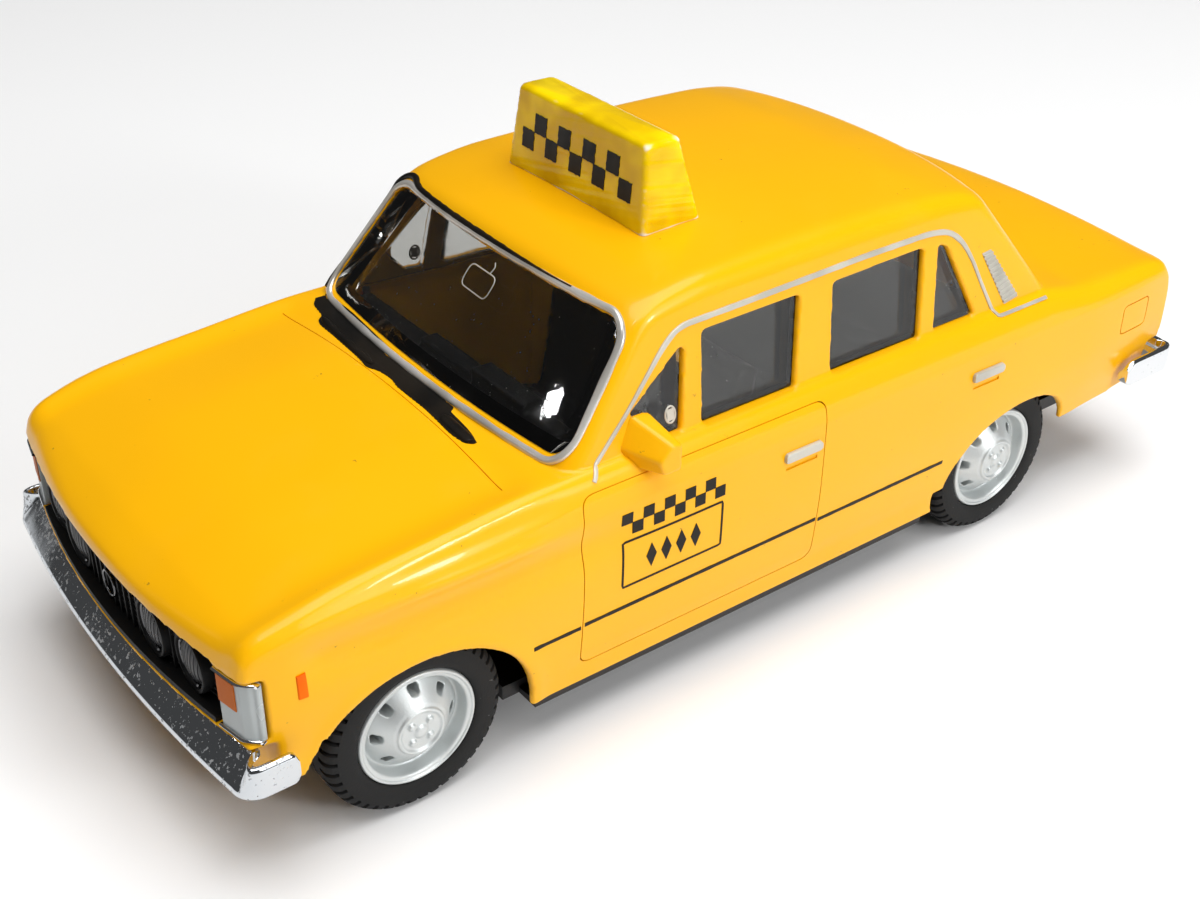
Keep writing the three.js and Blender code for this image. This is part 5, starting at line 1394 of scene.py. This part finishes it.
def make_bumper(end, node, wrap, bow, blade, peg_end, finish):
    """Blade carried round the bumper's path, thinner where it returns along the side, with two pegs."""
    foot = box_mm(node)[0][2]
    path = bumper_line(end, node, wrap, bow)
    along = np.gradient(path, axis=0)
    out = np.stack([-along[:, 1], along[:, 0]], 1)
    out /= -np.linalg.norm(out, axis=1)[:, None]
    section = rounded(blade, 0.2, 5)
    narrow = rounded(RETURN_BLADE, 0.2, 5)
    middle = BUMPER_HEIGHT / 2
    rows = []
    for i, (p, n) in enumerate(zip(path, out)):
        from_end = min(i, len(path) - 1 - i)
        shrink = 1 - 0.12 * max(0, 2 - from_end) ** 2
        shape = section + (narrow - section) * ramp(abs(n[1]), 0.4, 0.85)
        level = foot + middle + (shape[:, 1] - middle) * shrink
        rows.append(np.column_stack([p + n * shape[:, :1], level]))
    tip = NOSE_X if end > 0 else TAIL_X
    x0, x1 = sorted((tip - end * PEG_DEEP, tip - end * peg_end))
    pegs = [block((x0, y - PEG_HALF, foot + 0.7), (x1, y + PEG_HALF, foot + 2.3)) for y in (PEG_Y, -PEG_Y)]
    place(f"{node}_bar", merged([loft(rows)] + pegs), finish, node, sharp=50)


make_bumper(1, "front_bumper", 6.2, 1.7, FRONT_BLADE, 1.3, DUSTY_DIMMED_CHROME)
make_bumper(-1, "rear_bumper", 9.0, 0.8, REAR_BLADE, 0.1, CHROME)


# Plates and sections for trim
def decal(points, normals, rows, thick=0.05, sunk=0.06):
    """Thin closed plate over rows of points on a surface."""
    columns = len(points) // rows
    count = rows * columns
    faces = []
    for i in range(rows - 1):
        for j in range(columns - 1):
            a = i * columns + j
            faces.append([a, a + 1, a + columns + 1, a + columns])
            faces.append([a + count + columns, a + count + columns + 1, a + count + 1, a + count])
    rim = list(range(columns)) + [i * columns + columns - 1 for i in range(1, rows)]
    rim += [(rows - 1) * columns + j for j in range(columns - 2, -1, -1)]
    rim += [i * columns for i in range(rows - 2, 0, -1)]
    for k, a in enumerate(rim):
        b = rim[(k + 1) % len(rim)]
        faces.append([a, a + count, b + count, b])
    return solid(np.concatenate([points + normals * thick, points - normals * sunk]), faces)


def side_patch(corners, sign, steps, trees=ON_BODY):
    """Plate on the side from four (x, z) corners."""
    corners = np.asarray(corners, float)
    u = np.linspace(0, 1, steps)
    flat = [(1 - v) * ((1 - u)[:, None] * corners[0] + u[:, None] * corners[1])
            + v * ((1 - u)[:, None] * corners[3] + u[:, None] * corners[2]) for v in u]
    return decal(*on_side(np.concatenate(flat), sign, trees), steps)


def end_patch(ys, zs, end, trees, thick, sunk):
    """Plate on the front or the back over a grid of places."""
    return decal(*on_end([(y, z) for z in zs for y in ys], end, trees), len(zs), thick, sunk)


def pad_section(foot, head, sunk, proud, corner, steps):
    """Bar section that narrows from its foot to its head."""
    return rounded([(-foot, -sunk), (foot, -sunk), (head, proud), (-head, proud)], corner, steps)


def rounded_line(points, radius, steps=6):
    """Open line with its inner corners turned by a curve."""
    ring = rounded(points, radius, steps)
    return np.concatenate([[points[0]], ring[steps:-steps], [points[-1]]])


def nearest_index(points, spot):
    return np.argmin(np.hypot(points[:, 0] - spot[0], points[:, 1] - spot[1]))


# Bright trim round the windows
RAIL = [(21.6, 24.9), (17.3, 28.8), (13.0, 33.3), (11.3, 34.5), (4.4, 34.6), (-9.6, 34.9), (-17.9, 34.85),
        (-20.4, 34.45), (-22.2, 33.1), (-23.6, 30.9), (-24.5, 28.9), (-26.3, 25.3), (-26.45, 25.0),
        (-26.75, 24.92), (-33.4, 24.9)]
BLACK_EDGE_START = (-18.6, 26.2)
BLACK_EDGE_END = (11, 36.3)


def make_rails():
    section = pad_section(0.34, 0.3, 0.08, 0.14, 0.12, 3)
    path = evenly(rounded_line(RAIL, 1.3), 0.3)
    for side, sign in SIDES.items():
        points, normals = on_side(path, sign, ON_BOTH)
        t = np.linspace(0, 60, len(points))
        swell = (0.6 + 0.25 * ramp(path[:, 1], 30, 34)) * (1 + 0.08 * wobble(t, 1.3 * sign))
        place(f"{side}_gutter_bead", bar(points, normals, section, swell=swell), SILVER_PAINT)


def make_screen_beads():
    section = ellipse_section(0.7, 0.5, 0.05, 12)
    for name, outline, end in (("windscreen", WINDSCREEN, 1), ("backlight", BACKLIGHT, -1)):
        path = evenly(grown(evenly(outline, 0.4, True), 0.4), 0.35, True)
        points, normals = on_end(path, end, ON_CABIN)
        swell = 1 + 0.12 * wobble(6 * full_turn(len(points)), 0.7)
        place(f"{name}_bead", bar(points, normals, section, True, swell), SILVER_BEAD)


def make_black_edge():
    """Hand-painted black line: beside the bead up the right pillar, then over it along the roof, thinning."""
    border = evenly(WINDSCREEN, 0.3, True)
    border = np.roll(border, -nearest_index(border, BLACK_EDGE_START), axis=0)
    if border[8, 1] < border[0, 1] + 0.5:
        border = np.roll(border[::-1], 1, axis=0)
    over = ramp(border[:, 0], -16.5, -13)
    border = grown(border, (0.95 - 0.4 * over)[:, None])
    points, normals = on_end(border[:nearest_index(border, BLACK_EDGE_END)], 1, ON_CABIN)
    along = np.linspace(0, 1, len(points))
    swell = (1.0 - 0.7 * ramp(along, 0.6, 1)) * (1 + 0.12 * wobble(40 * along, 2.2))
    line = bar(points, normals, ellipse_section(0.66, 0.62, 0.04, 12), swell=swell)
    place("windscreen_black_edge", line, BLACK_PAINT)


WIPER_LOW_Y = -18.4
WIPER_HIGH_Y = 11.6
WIPER_BACK = curve([
    (WIPER_LOW_Y, 23.5), (-17.4, 23.65), (-14, 23.8), (-10, 24.1), (-5.8, 24.4), (-2, 24.6), (1.4, 24.7),
    (5.8, 24.9), (6.3, 25.5), (8.1, 25.7), (9.9, 25.95), (WIPER_HIGH_Y, 26.4)])
WIPER_FRONT = curve([
    (WIPER_LOW_Y, 24.8), (-17.2, 25.6), (-15.2, 25.9), (-14.5, 26.6), (-13.6, 26.84), (-9.75, 27.02),
    (-5.5, 27.4), (-4.1, 27.6), (-2.8, 27.0), (-1.26, 26.89), (0.6, 27.2), (4.1, 27.18), (7, 27.31),
    (9.35, 27.5), (11, 27.3), (WIPER_HIGH_Y, 26.7)])
WIPER_BLADES = [(-14.6, 26.15, -4.2, 26.95, 0.8), (6.6, 26.5, 11.3, 26.75, 1.2)]


def make_wipers():
    """Hand-painted black band from the bead down onto the scuttle, with two raised blades."""
    ys = np.linspace(WIPER_LOW_Y, WIPER_HIGH_Y, 150)
    shares = np.linspace(0, 1, 9)
    back = WIPER_BACK(ys)
    front = WIPER_FRONT(ys) + 0.06 * wobble(6.1 * ys, 1.9)
    plan = [(b + (f - b) * s, y) for b, f, y in zip(back, front, ys) for s in shares]
    parts = [decal(*on_top(plan), len(ys), 0.07, 0.08)]
    t = np.linspace(0, 1, 60)
    taper = np.sqrt(np.clip(1.02 - (2 * t - 1) ** 8, 0.04, 1))
    for y0, x0, y1, x1, width in WIPER_BLADES:
        spots, facing = on_top(np.stack([x0 + (x1 - x0) * t, y0 + (y1 - y0) * t], 1))
        parts.append(bar(spots, facing, ellipse_section(width, 0.5, 0.06, 12), swell=taper))
    place("wiper_band", merged(parts), BLACK_PAINT)


# Prints, handles and small fittings on the sides
STRIPES = {
    "wing": (28.1, DOOR_FRONT_X + 0.15, 11.55),
    "door": (DOOR_FRONT_X - 0.25, DOOR_REAR_X + 0.2, 11.7),
    "rear": (DOOR_REAR_X - 0.15, -20.1, 11.5)}
PRINT_SUNK = 0.06
PRINT_PROUD = 0.045
PRINT_FRONT_X = 19.3
PRINT_CELL = 1.1
PRINT_TOP_Z = 21.2
FRAME_TOP_Z = 18.4
FRAME_FOOT_Z = 13.9
FRAME_LONG = 10.8
LOZENGE_HALF = (0.55, 1.2)
LOZENGE_STEP = 1.6
VENT_CORNERS = [(-24.9, 31.2), (-26.1, 31.3), (-29.9, 25.8), (-27.95, 25.5)]
MARKER_X = 48.4
VENT_MARK = (12.5, 27.1)
INNER_MIRROR = [(-1.7, 32.45), (2.2, 32.35), (2.2, 34.05), (-1.7, 34.1)]
MIRROR_STEM = [(1.1, 34.05), (1.3, 34.6), (1.0, 34.9)]


def make_stripes():
    section = bar_section(0.36, -PRINT_SUNK, PRINT_PROUD)
    for side, sign in SIDES.items():
        for part, (x0, x1, z) in STRIPES.items():
            path = np.linspace((x0, z), (x1, z), 40)
            swell = 1 + 0.15 * wobble(0.8 * path[:, 0], sign)
            line = bar(*on_side(path, sign), section, swell=swell)
            body = f"{side}_door" if part == "door" else "car"
            place(f"{side}_{part}_stripe", line, BLACK_PAINT, body=body)


def make_door_prints():
    """Chequer strip over a framed row of lozenges on each front door."""
    middle = (FRAME_TOP_Z + FRAME_FOOT_Z) / 2
    wide, high = LOZENGE_HALF
    front, rear = PRINT_FRONT_X - 0.1, PRINT_FRONT_X - FRAME_LONG
    corners = [(front, FRAME_TOP_Z), (rear, FRAME_TOP_Z), (rear, FRAME_FOOT_Z), (front, FRAME_FOOT_Z)]
    loop = evenly(rounded(corners, 0.1, 3), 0.3, True)
    for side, sign in SIDES.items():
        marks = []
        for row in range(2):
            for column in range(row, 10, 2):
                x = PRINT_FRONT_X - column * PRINT_CELL
                z = PRINT_TOP_Z - row * PRINT_CELL
                cell = [(x, z), (x - PRINT_CELL, z), (x - PRINT_CELL, z - PRINT_CELL), (x, z - PRINT_CELL)]
                marks.append(side_patch(cell, sign, 3))
        for k in range(4):
            x = PRINT_FRONT_X - 3.1 - LOZENGE_STEP * k
            lozenge = [(x + wide, middle), (x, middle + high), (x - wide, middle), (x, middle - high)]
            marks.append(side_patch(lozenge, sign, 4))
        marks.append(bar(*on_side(loop, sign), bar_section(0.2, -PRINT_SUNK, PRINT_PROUD), True))
        place(f"{side}_door_print", merged(marks), BLACK_PAINT, body=f"{side}_door")


def make_handles():
    section = pad_section(0.52, 0.46, 0.1, 0.36, 0.14, 4)
    swell = np.sqrt(np.clip(1.02 - np.linspace(-1, 1, 26) ** 30, 0.3, 1))
    for side, sign in SIDES.items():
        for end, (x0, x1) in HANDLES.items():
            path = np.linspace((x0, HANDLE_Z), (x1, HANDLE_Z), len(swell))
            handle = bar(*on_side(path, sign), section, swell=swell)
            body = f"{side}_door" if end == "front" else "car"
            place(f"{side}_{end}_handle", handle, SILVER_PAINT, body=body)


def make_pillar_vents():
    """Ribbed silver outlet on each rear pillar."""
    a, b, c, d = (np.array(p) for p in VENT_CORNERS)
    for side, sign in SIDES.items():
        parts = [side_patch(VENT_CORNERS, sign, 8, ON_CABIN)]
        for t in np.linspace(0.06, 0.94, 11):
            path = np.linspace(a + (d - a) * t, b + (c - b) * t, 6)
            parts.append(bar(*on_side(path, sign, ON_CABIN), ellipse_section(0.24, 0.26, 0.05)))
        place(f"{side}_pillar_vent", merged(parts), SILVER_PAINT)


def make_markers():
    section = pad_section(0.4, 0.4, 0.1, 0.12, 0.12, 4)
    for side, sign in SIDES.items():
        path = np.linspace((MARKER_X, 16.7), (MARKER_X, 18.8), 12)
        place(f"{side}_wing_marker", bar(*on_side(path, sign), section), ORANGE_PAINT)


def make_glass_marks():
    """Oval on each vent pane and a drawn outline of the inner mirror on the windscreen."""
    x, z = VENT_MARK
    turn = full_turn(28)
    loop = np.stack([x + 0.52 * np.cos(turn), z + 0.72 * np.sin(turn)], 1)
    inner = [(x - 0.36, z - 0.5), (x + 0.36, z - 0.5), (x + 0.36, z + 0.5), (x - 0.36, z + 0.5)]
    for side, sign in SIDES.items():
        rim = bar(*on_side(loop, sign, ON_PANES), ellipse_section(0.2, 0.12), True)
        fill = side_patch(inner, sign, 5, ON_PANES)
        place(f"{side}_vent_pane_oval", merged([rim, fill]), SILVER_PAINT)
    line = ellipse_section(0.13, 0.08)
    outline = bar(*on_end(evenly(rounded(INNER_MIRROR, 0.6), 0.25, True), 1, ON_SCREEN), line, True)
    stem = bar(*on_end(evenly(MIRROR_STEM, 0.2), 1, ON_SCREEN), line)
    place("inner_mirror_outline", merged([outline, stem]), SILVER_PAINT)


# Front and rear: grille and lamps
LAMP_YS = {"left_outer": 12.9, "left_inner": 7.2, "right_inner": -7.2, "right_outer": -12.9}
LAMP_Z = (GRILLE_FOOT_Z + GRILLE_HEAD_Z) / 2
LAMP_RADIUS = 2.0
LAMP_DOME = 0.75
RING_RADIUS = 1.1
RING_WIRE = 0.12
PLATE_LOW = (-5.2, 15.6)
PLATE_HIGH = (5.2, 18.0)
LOCK_Z = 20.0


def nose_bar(setback, half, z0, z1, deep):
    """Bar that follows the nose across the car."""
    return prism(end_strip(1, setback, setback + deep, -half, half, 30), "Z", z0, z1)


def make_grille():
    foot, head, half = GRILLE_FOOT_Z, GRILLE_HEAD_Z, GRILLE_HALF
    parts = [nose_bar(1.75, half, foot, head, 0.5), nose_bar(0.08, half, foot - 0.15, foot + 0.35, 1.9),
             nose_bar(0.75, half, head - 0.45, head, 1.2),
             nose_bar(1.1, half, head - 0.1, head + LIP_RISE - 0.05, 1.1)]
    for z in np.linspace(foot + 0.85, head - 1.05, 7):
        parts.append(nose_bar(1.25, half - 0.2, z, z + 0.2, 0.7))
    for y in np.concatenate([np.linspace(-4.6, 4.6, 9), [-16.7, 16.7, -10.05, 10.05]]):
        x = NOSE_X - nose_sweep(y)
        parts.append(block((x - 2.0, y - 0.13, foot + 0.2), (x - 1.05, y + 0.13, head - 0.2)))
    for y in LAMP_YS.values():
        x = NOSE_X - nose_sweep(y)
        shroud = [(2.1, -2.2), (2.55, -2.2), (2.55, -1.0), (2.45, -0.8), (2.2, -0.8), (2.1, -0.95)]
        parts.append(turned([(r, x + h) for r, h in shroud], 64, "X", (0, y, LAMP_Z)))
    # Grille in a black deepened with painted shade.
    place("grille_panel", merged(parts), SHADED_GRILLE_BLACK, "grille")
    # The ring's plating is darkened with painted shade.
    ring = [(RING_RADIUS + RING_WIRE * math.cos(a), NOSE_X - 0.85 + RING_WIRE * math.sin(a))
            for a in full_turn(10)]
    place("grille_ring", turned(ring, 48, "X", (0, 0, LAMP_Z)), SHADED_CHROME)


def make_headlamps():
    """Ribbed domes in plated rims; lenses and rims are darkened with painted shade."""
    rim = [(2.02, 0), (2.12, 0), (2.12, 1.15), (2.04, 1.25), (1.92, 1.15), (1.94, 0.9), (2.02, 0.8)]
    for name, y in LAMP_YS.items():
        x = NOSE_X - nose_sweep(y) - 2.2
        base = x + LAMP_DOME
        dome = [(LAMP_RADIUS * math.sin(a), base + LAMP_DOME * math.cos(a))
                for a in np.linspace(math.pi / 2, 0.02, 14)]
        parts = [turned([(0.0, x + 0.05), (LAMP_RADIUS, x + 0.05)] + dome, 64, "X", (0, y, LAMP_Z))]
        for offset in np.linspace(-1.3, 1.3, 7):
            half = math.sqrt(1.75 ** 2 - offset ** 2)
            zs = np.linspace(-half, half, 14)
            rise = np.sqrt(np.clip(1 - (zs ** 2 + offset ** 2) / LAMP_RADIUS ** 2, 0, 1))
            path = np.stack([base + LAMP_DOME * rise, np.full(14, y + offset), LAMP_Z + zs], 1)
            parts.append(bar(path, np.tile((1.0, 0, 0), (14, 1)), ellipse_section(0.16, 0.1, 0.0, 8)))
        place(f"{name}_headlamp_glass", merged(parts), SHADED_LENS, f"{name}_headlamp")
        ring = turned([(r, x + h) for r, h in rim], 64, "X", (0, y, LAMP_Z))
        place(f"{name}_headlamp_rim", ring, SHADED_CHROME)


def corner_plan(grow=0.0):
    """Plan outline of the left corner lamp, from the grille round to the wing."""
    back = box_mm("left_corner_lamp")[0][0]
    inner = GRILLE_HALF + 0.6 - grow
    turn_y = inner + 2.6
    ys = np.linspace(inner, turn_y, 8)
    front = np.stack([NOSE_X - (0.2 - grow) - nose_sweep(ys), ys], 1)
    wing = side_half(back) - 0.25 + grow
    bend_x = front[-1, 0]
    bend = [(bend_x - 0.5, turn_y + 0.62), (bend_x - 1.2, wing - 0.12), (back + 0.6, wing)]
    return np.concatenate([[(back, inner)], front, bend, [(back, wing)]])


def make_corner_lamps():
    """Clear lens with an orange pane, between plated strips."""
    lens_mesh = softened(prism(corner_plan(), "Z", GRILLE_FOOT_Z, GRILLE_HEAD_Z), 0.14, 0.3, 5, 24000)
    ys = np.linspace(GRILLE_HALF + 0.7, GRILLE_HALF + 2.75, 8)
    pane = end_patch(ys, np.linspace(16.3, 18.8, 8), 1, (tree_of(lens_mesh),), 0.09, 0.05)
    edge = evenly(corner_plan(0.06)[1:-1], 0.25)
    upward = np.tile((0.0, 0, 1), (len(edge), 1))
    strips = []
    for z, width in ((GRILLE_HEAD_Z + 0.02, 0.5), (GRILLE_FOOT_Z + 0.02, 0.4)):
        path = np.column_stack([edge, np.full(len(edge), z)])
        strips.append(bar(path, upward, ellipse_section(width, 0.3)))
    strip = merged(strips)
    for side, sign in SIDES.items():
        node = f"{side}_corner_lamp"
        place(f"{side}_corner_lens", sided(lens_mesh, sign), CLEAR_LENS, node)
        place(f"{side}_corner_orange", sided(pane, sign), ORANGE_LENS)
        place(f"{side}_corner_strip", sided(strip, sign), CHROME)


def make_tail_lamps():
    """Red lens with an orange and a clear pane, in a plated surround."""
    low, high = box_mm("left_tail_lamp")
    plan = end_strip(-1, -0.25, 1.1, low[1], high[1], 20)
    lens_mesh = softened(prism(plan, "Z", low[2], high[2]), 0.14, 0.35, 5, 24000)
    on_lens = (tree_of(lens_mesh),)

    def pane(y0, y1, z0, z1):
        return end_patch(np.linspace(y0, y1, 8), np.linspace(z0, z1, 8), -1, on_lens, 0.12, 0.05)

    orange = pane(high[1] - 1.9, high[1] - 0.5, low[2] + 0.5, high[2] - 0.5)
    clear = pane(low[1] + 0.5, low[1] + 1.7, low[2] + 0.5, low[2] + 2.4)
    corners = [(low[1], low[2]), (high[1], low[2]), (high[1], high[2]), (low[1], high[2])]
    loop = grown(evenly(rounded(corners, 0.5), 0.3, True), 0.12)
    surround = bar(*on_end(loop, -1), ellipse_section(0.5, 0.4, 0.02), True)
    for side, sign in SIDES.items():
        place(f"{side}_tail_lens", sided(lens_mesh, sign), RED_LENS, f"{side}_tail_lamp")
        place(f"{side}_tail_orange", sided(orange, sign), ORANGE_LENS)
        place(f"{side}_tail_clear", sided(clear, sign), CLEAR_LENS)
        place(f"{side}_tail_surround", sided(surround, sign), CHROME)


def make_rear_fittings():
    """Bare framed plate and a lock button on the tail."""
    (y0, z0), (y1, z1) = PLATE_LOW, PLATE_HIGH
    plate = end_patch(np.linspace(y0, y1, 12), np.linspace(z0, z1, 6), -1, ON_BODY, 0.2, 0.1)
    loop = evenly(rounded([(y0, z0), (y1, z0), (y1, z1), (y0, z1)], 0.4), 0.25, True)
    border = bar(*on_end(loop, -1), ellipse_section(0.36, 0.6, 0.05), True)
    place("rear_plate", merged([plate, border]), BLACK_PLASTIC)
    x = on_end([(0, LOCK_Z)], -1)[0][0, 0]
    button = [(0, 0.4), (0.6, 0.4), (0.6, -0.15), (0.45, -0.3), (0.2, -0.3), (0.15, -0.2), (0, -0.2)]
    place("boot_lock", turned([(r, x + h) for r, h in button], 32, "X", (0, 0, LOCK_Z)), CHROME)


# Roof sign
SIGN_FRONT_X, SIGN_HALF, SIGN_TOP_Z = box_mm("roof_sign")[1]
SIGN_DEEP = 6.3
SIGN_ROUND_FROM = 0.93
SIGN_ROUND = 0.5
SIGN_RING = 190
SIGN_CELL = 1.75
SIGN_PRINT_Y = -7.9
SIGN_PRINT_Z = 40.6
COAT = 0.035


def sign_mesh():
    """Hand-painted block that follows the roof, with a thick uneven coat."""
    rows = []
    for t in np.linspace(0, 1, 54):
        lean = min(1.0, t / SIGN_ROUND_FROM)
        over = max(0.0, (t - SIGN_ROUND_FROM) / (1 - SIGN_ROUND_FROM))
        round_in = SIGN_ROUND * (1 - math.sqrt(max(0.0, 1 - over ** 2)))
        front = SIGN_FRONT_X - 0.7 * lean - round_in
        back = SIGN_FRONT_X - SIGN_DEEP + 1.8 * lean + round_in
        half = SIGN_HALF - 0.8 * lean - round_in
        corners = [(front, -half), (front, half), (back, half), (back, -half)]
        ring = evenly(rounded(corners, 0.5, 8), 0.28, True)
        steps = np.linspace(0, len(ring), SIGN_RING, endpoint=False)
        ring = np.stack([np.interp(steps, np.arange(len(ring) + 1), np.append(ring[:, k], ring[0, k]))
                         for k in range(2)], 1)
        seat = roof_line(ring[:, 0]) - roof_fall(ring[:, 1]) + 0.04
        rows.append(np.column_stack([ring, seat + (SIGN_TOP_Z - seat) * t]))
    rows = np.array(rows)
    out = rows - rows.mean(axis=(0, 1))
    out[..., 2] *= 0.4
    out /= np.linalg.norm(out, axis=2)[..., None]
    along = 0.9 * rows[..., 1] + 0.7 * rows[..., 0]
    coat = COAT * wobble(1.1 * along, 0.6) + COAT * wobble(1.7 * rows[..., 2] - 0.4 * along, 2.1)
    return loft(rows + coat[..., None] * out)


def make_sign():
    """Painted block with uneven hand-painted chequers on its front and back."""
    sign = sign_mesh()
    on_sign = (tree_of(sign),)
    us = np.linspace(0, SIGN_CELL, 7)
    marks = []
    for end in (1, -1):
        for row in range(2):
            for column in range(row, 9, 2):
                y = SIGN_PRINT_Y + column * SIGN_CELL + 0.06 * math.sin(5 * column + row)
                z = SIGN_PRINT_Z + row * SIGN_CELL + 0.08 * math.sin(3 * column + 2 * row)
                cell = [(y + u + 0.07 * wobble(4 * v, column), z + v + 0.07 * wobble(4 * u, column + row))
                        for v in us for u in us]
                marks.append(decal(*on_end(cell, end, on_sign), len(us), 0.05, 0.08))
    place("roof_sign_block", sign, SIGN_PAINT, "roof_sign", sharp=60)
    place("roof_sign_chequers", merged(marks), BLACK_PAINT)


# Mirrors, cabin fittings
def make_mirrors():
    """Faceted housing that sweeps back from the foot of the pillar."""
    low, high = box_mm("left_mirror")
    foot, head = low[2] - 0.5, high[2] - 0.45
    front, back = high[0] - 0.2, low[0]
    inner = np.array([
        (front - 3.4, foot), (front - 3.4, head - 0.2), (front - 1.5, head), (front, head - 2.5),
        (front - 0.5, foot)])
    outer = np.array([
        (back, foot + 0.2), (back, head - 1.7), (back + 1.0, head - 1.5), (back + 2.3, head - 2.7),
        (back + 1.8, foot + 0.2)])
    rings = []
    for t in np.linspace(0, 1, 9):
        plan = rounded(inner + (outer - inner) * t, 0.3, 5)
        across = np.full(len(plan), low[1] - 0.8 + (high[1] - low[1] + 0.45) * t)
        rings.append(np.column_stack([plan[:, 0], across, plan[:, 1]]))
    housing = softened(loft(rings), 0.16, 0.45, 7, 20000)
    for side, sign in SIDES.items():
        place(f"{side}_mirror_housing", sided(housing, sign), YELLOW, f"{side}_mirror")


def drawn_of(name):
    """Copy of a node's solid, in millimetres, with its split points joined."""
    shape = opened(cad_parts[name].data)
    bmesh.ops.scale(shape, vec=(1 / MM, 1 / MM, 1 / MM), verts=shape.verts)
    bmesh.ops.remove_doubles(shape, verts=shape.verts, dist=1e-3)
    return as_mesh(shape)


def make_cabin_fittings():
    """Seats and floor, a padded shelf with a hood over the instruments, and the steering wheel."""
    tub = softened(drawn_of("interior_tub"), 0.36, 0.9, 8, 60000)
    place("cabin_tub", tub, BLACK_PLASTIC, "interior_tub")
    front = SCREEN_FOOT_X - 3.0
    rear = box_mm("steering_wheel")[1][0] + 0.3
    shelf = block((rear, -16.6, BELT_Z - 0.7), (front, 16.6, BELT_Z - 0.05))
    ridge = block((rear, -5.0, BELT_Z - 0.6), (rear + 1.9, 15.6, BELT_Z + 0.75))
    hood = block((rear, 3.6, BELT_Z - 0.6), (rear + 2.2, 11.2, BELT_Z + 1.6))
    pad = softened(carved(shelf, joins=[ridge, hood]), 0.16, 0.5, 8, 30000)
    place("dash_pad", pad, BLACK_PLASTIC)
    wheel = softened(drawn_of("steering_wheel"), 0.14, 0.3, 6, 20000)
    place("steering_ring", wheel, BLACK_PLASTIC, "steering_wheel")


# Solids that show as they are, with eased edges
PLAIN_NODES = {
    "chassis_base": BLACK_PLASTIC, "front_axle_keeper": BLACK_PLASTIC, "front_screw": STEEL,
    "rear_screw": STEEL, "front_axle": STEEL, "rear_axle": STEEL, "left_hinge_pin": STEEL, "right_hinge_pin": STEEL,
    "motor_case": BLACK_PLASTIC, "motor_cover": BLACK_PLASTIC, "axle_pinion": NYLON, "winding_gear": NYLON,
    "spring_drum": STEEL, "winding_shaft": STEEL}


def dress_plain_nodes():
    for name, finish in PLAIN_NODES.items():
        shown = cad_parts[name]
        shown.data.materials.clear()
        shown.data.materials.append(finish)
        ease = shown.modifiers.new("eased_edges", "BEVEL")
        ease.width = 0.12 * MM
        ease.segments = 2
        ease.limit_method = "ANGLE"
        ease.angle_limit = math.radians(35)


make_rails()
make_screen_beads()
make_black_edge()
make_wipers()
make_stripes()
make_door_prints()
make_handles()
make_pillar_vents()
make_markers()
make_glass_marks()
make_grille()
make_headlamps()
make_corner_lamps()
make_tail_lamps()
make_rear_fittings()
make_sign()
make_mirrors()
make_cabin_fittings()
dress_plain_nodes()


# Floor, light and camera
FLOOR_HALF = 900
CAMERA_SPOT = (85.96, 105.19, 95.44)
CAMERA_RIGHT = (-0.79765, 0.60291, 0.01579)
CAMERA_UP = (-0.31337, -0.43667, 0.84328)
FOCAL_LENGTH = 48.2
SURROUND_STRENGTH = 0.07


def make_floor():
    corners = [(-FLOOR_HALF, -FLOOR_HALF), (FLOOR_HALF, -FLOOR_HALF), (FLOOR_HALF, FLOOR_HALF),
               (-FLOOR_HALF, FLOOR_HALF)]
    floor = bpy.data.objects.new("studio_floor", prism(corners, "Z", -4, -0.02))
    floor.data.transform(Matrix.Scale(MM, 4))
    floor.data.materials.append(new_finish("studio_paper", (0.91, 0.91, 0.91), 0.7)[0])
    bpy.context.scene.collection.objects.link(floor)


def make_surround():
    world = bpy.data.worlds.new("studio_surround")
    world.use_nodes = True
    set_sockets(world.node_tree.nodes["Background"], {"Color": (1, 1, 1, 1), "Strength": SURROUND_STRENGTH})
    bpy.context.scene.world = world


def make_light(name, place_mm, target_mm, size, power):
    """Round soft light aimed at a point of the car."""
    lamp = bpy.data.lights.new(name, "AREA")
    lamp.shape = "DISK"
    lamp.size = size * MM
    lamp.energy = power
    holder = bpy.data.objects.new(name, lamp)
    holder.location = Vector(place_mm) * MM
    aim = Vector(target_mm) - Vector(place_mm)
    holder.rotation_euler = aim.to_track_quat("-Z", "Y").to_euler()
    bpy.context.scene.collection.objects.link(holder)


def make_camera():
    """Camera at the photograph's viewing angle."""
    data = bpy.data.cameras.new("photo_view")
    data.sensor_fit = "HORIZONTAL"
    data.sensor_width = 36.0
    data.lens = FOCAL_LENGTH
    data.clip_start = 0.005
    holder = bpy.data.objects.new("photo_view", data)
    right = Vector(CAMERA_RIGHT).normalized()
    up = Vector(CAMERA_UP).normalized()
    turn = Matrix((right, up, right.cross(up))).transposed()
    holder.matrix_world = Matrix.Translation(Vector(CAMERA_SPOT) * MM) @ turn.to_4x4()
    bpy.context.scene.collection.objects.link(holder)
    bpy.context.scene.camera = holder


make_floor()
make_surround()
make_light("overhead_softbox", (-40, 60, 700), (0, 0, 0), 700, 5.5)
make_light("side_softbox", (-110, 430, 270), (0, 0, 15), 360, 0.8)
make_light("side_glint", (-130, 406, 184), (33, 22, 22), 70, 0.5)
make_light("glint_lamp", (230, 170, 520), (10, 0, 15), 60, 0.15)
make_light("screen_glint", (362, -270, 248), (17, 18, 34), 12, 0.02)
make_camera()
bpy.context.scene.view_settings.view_transform = "Standard"
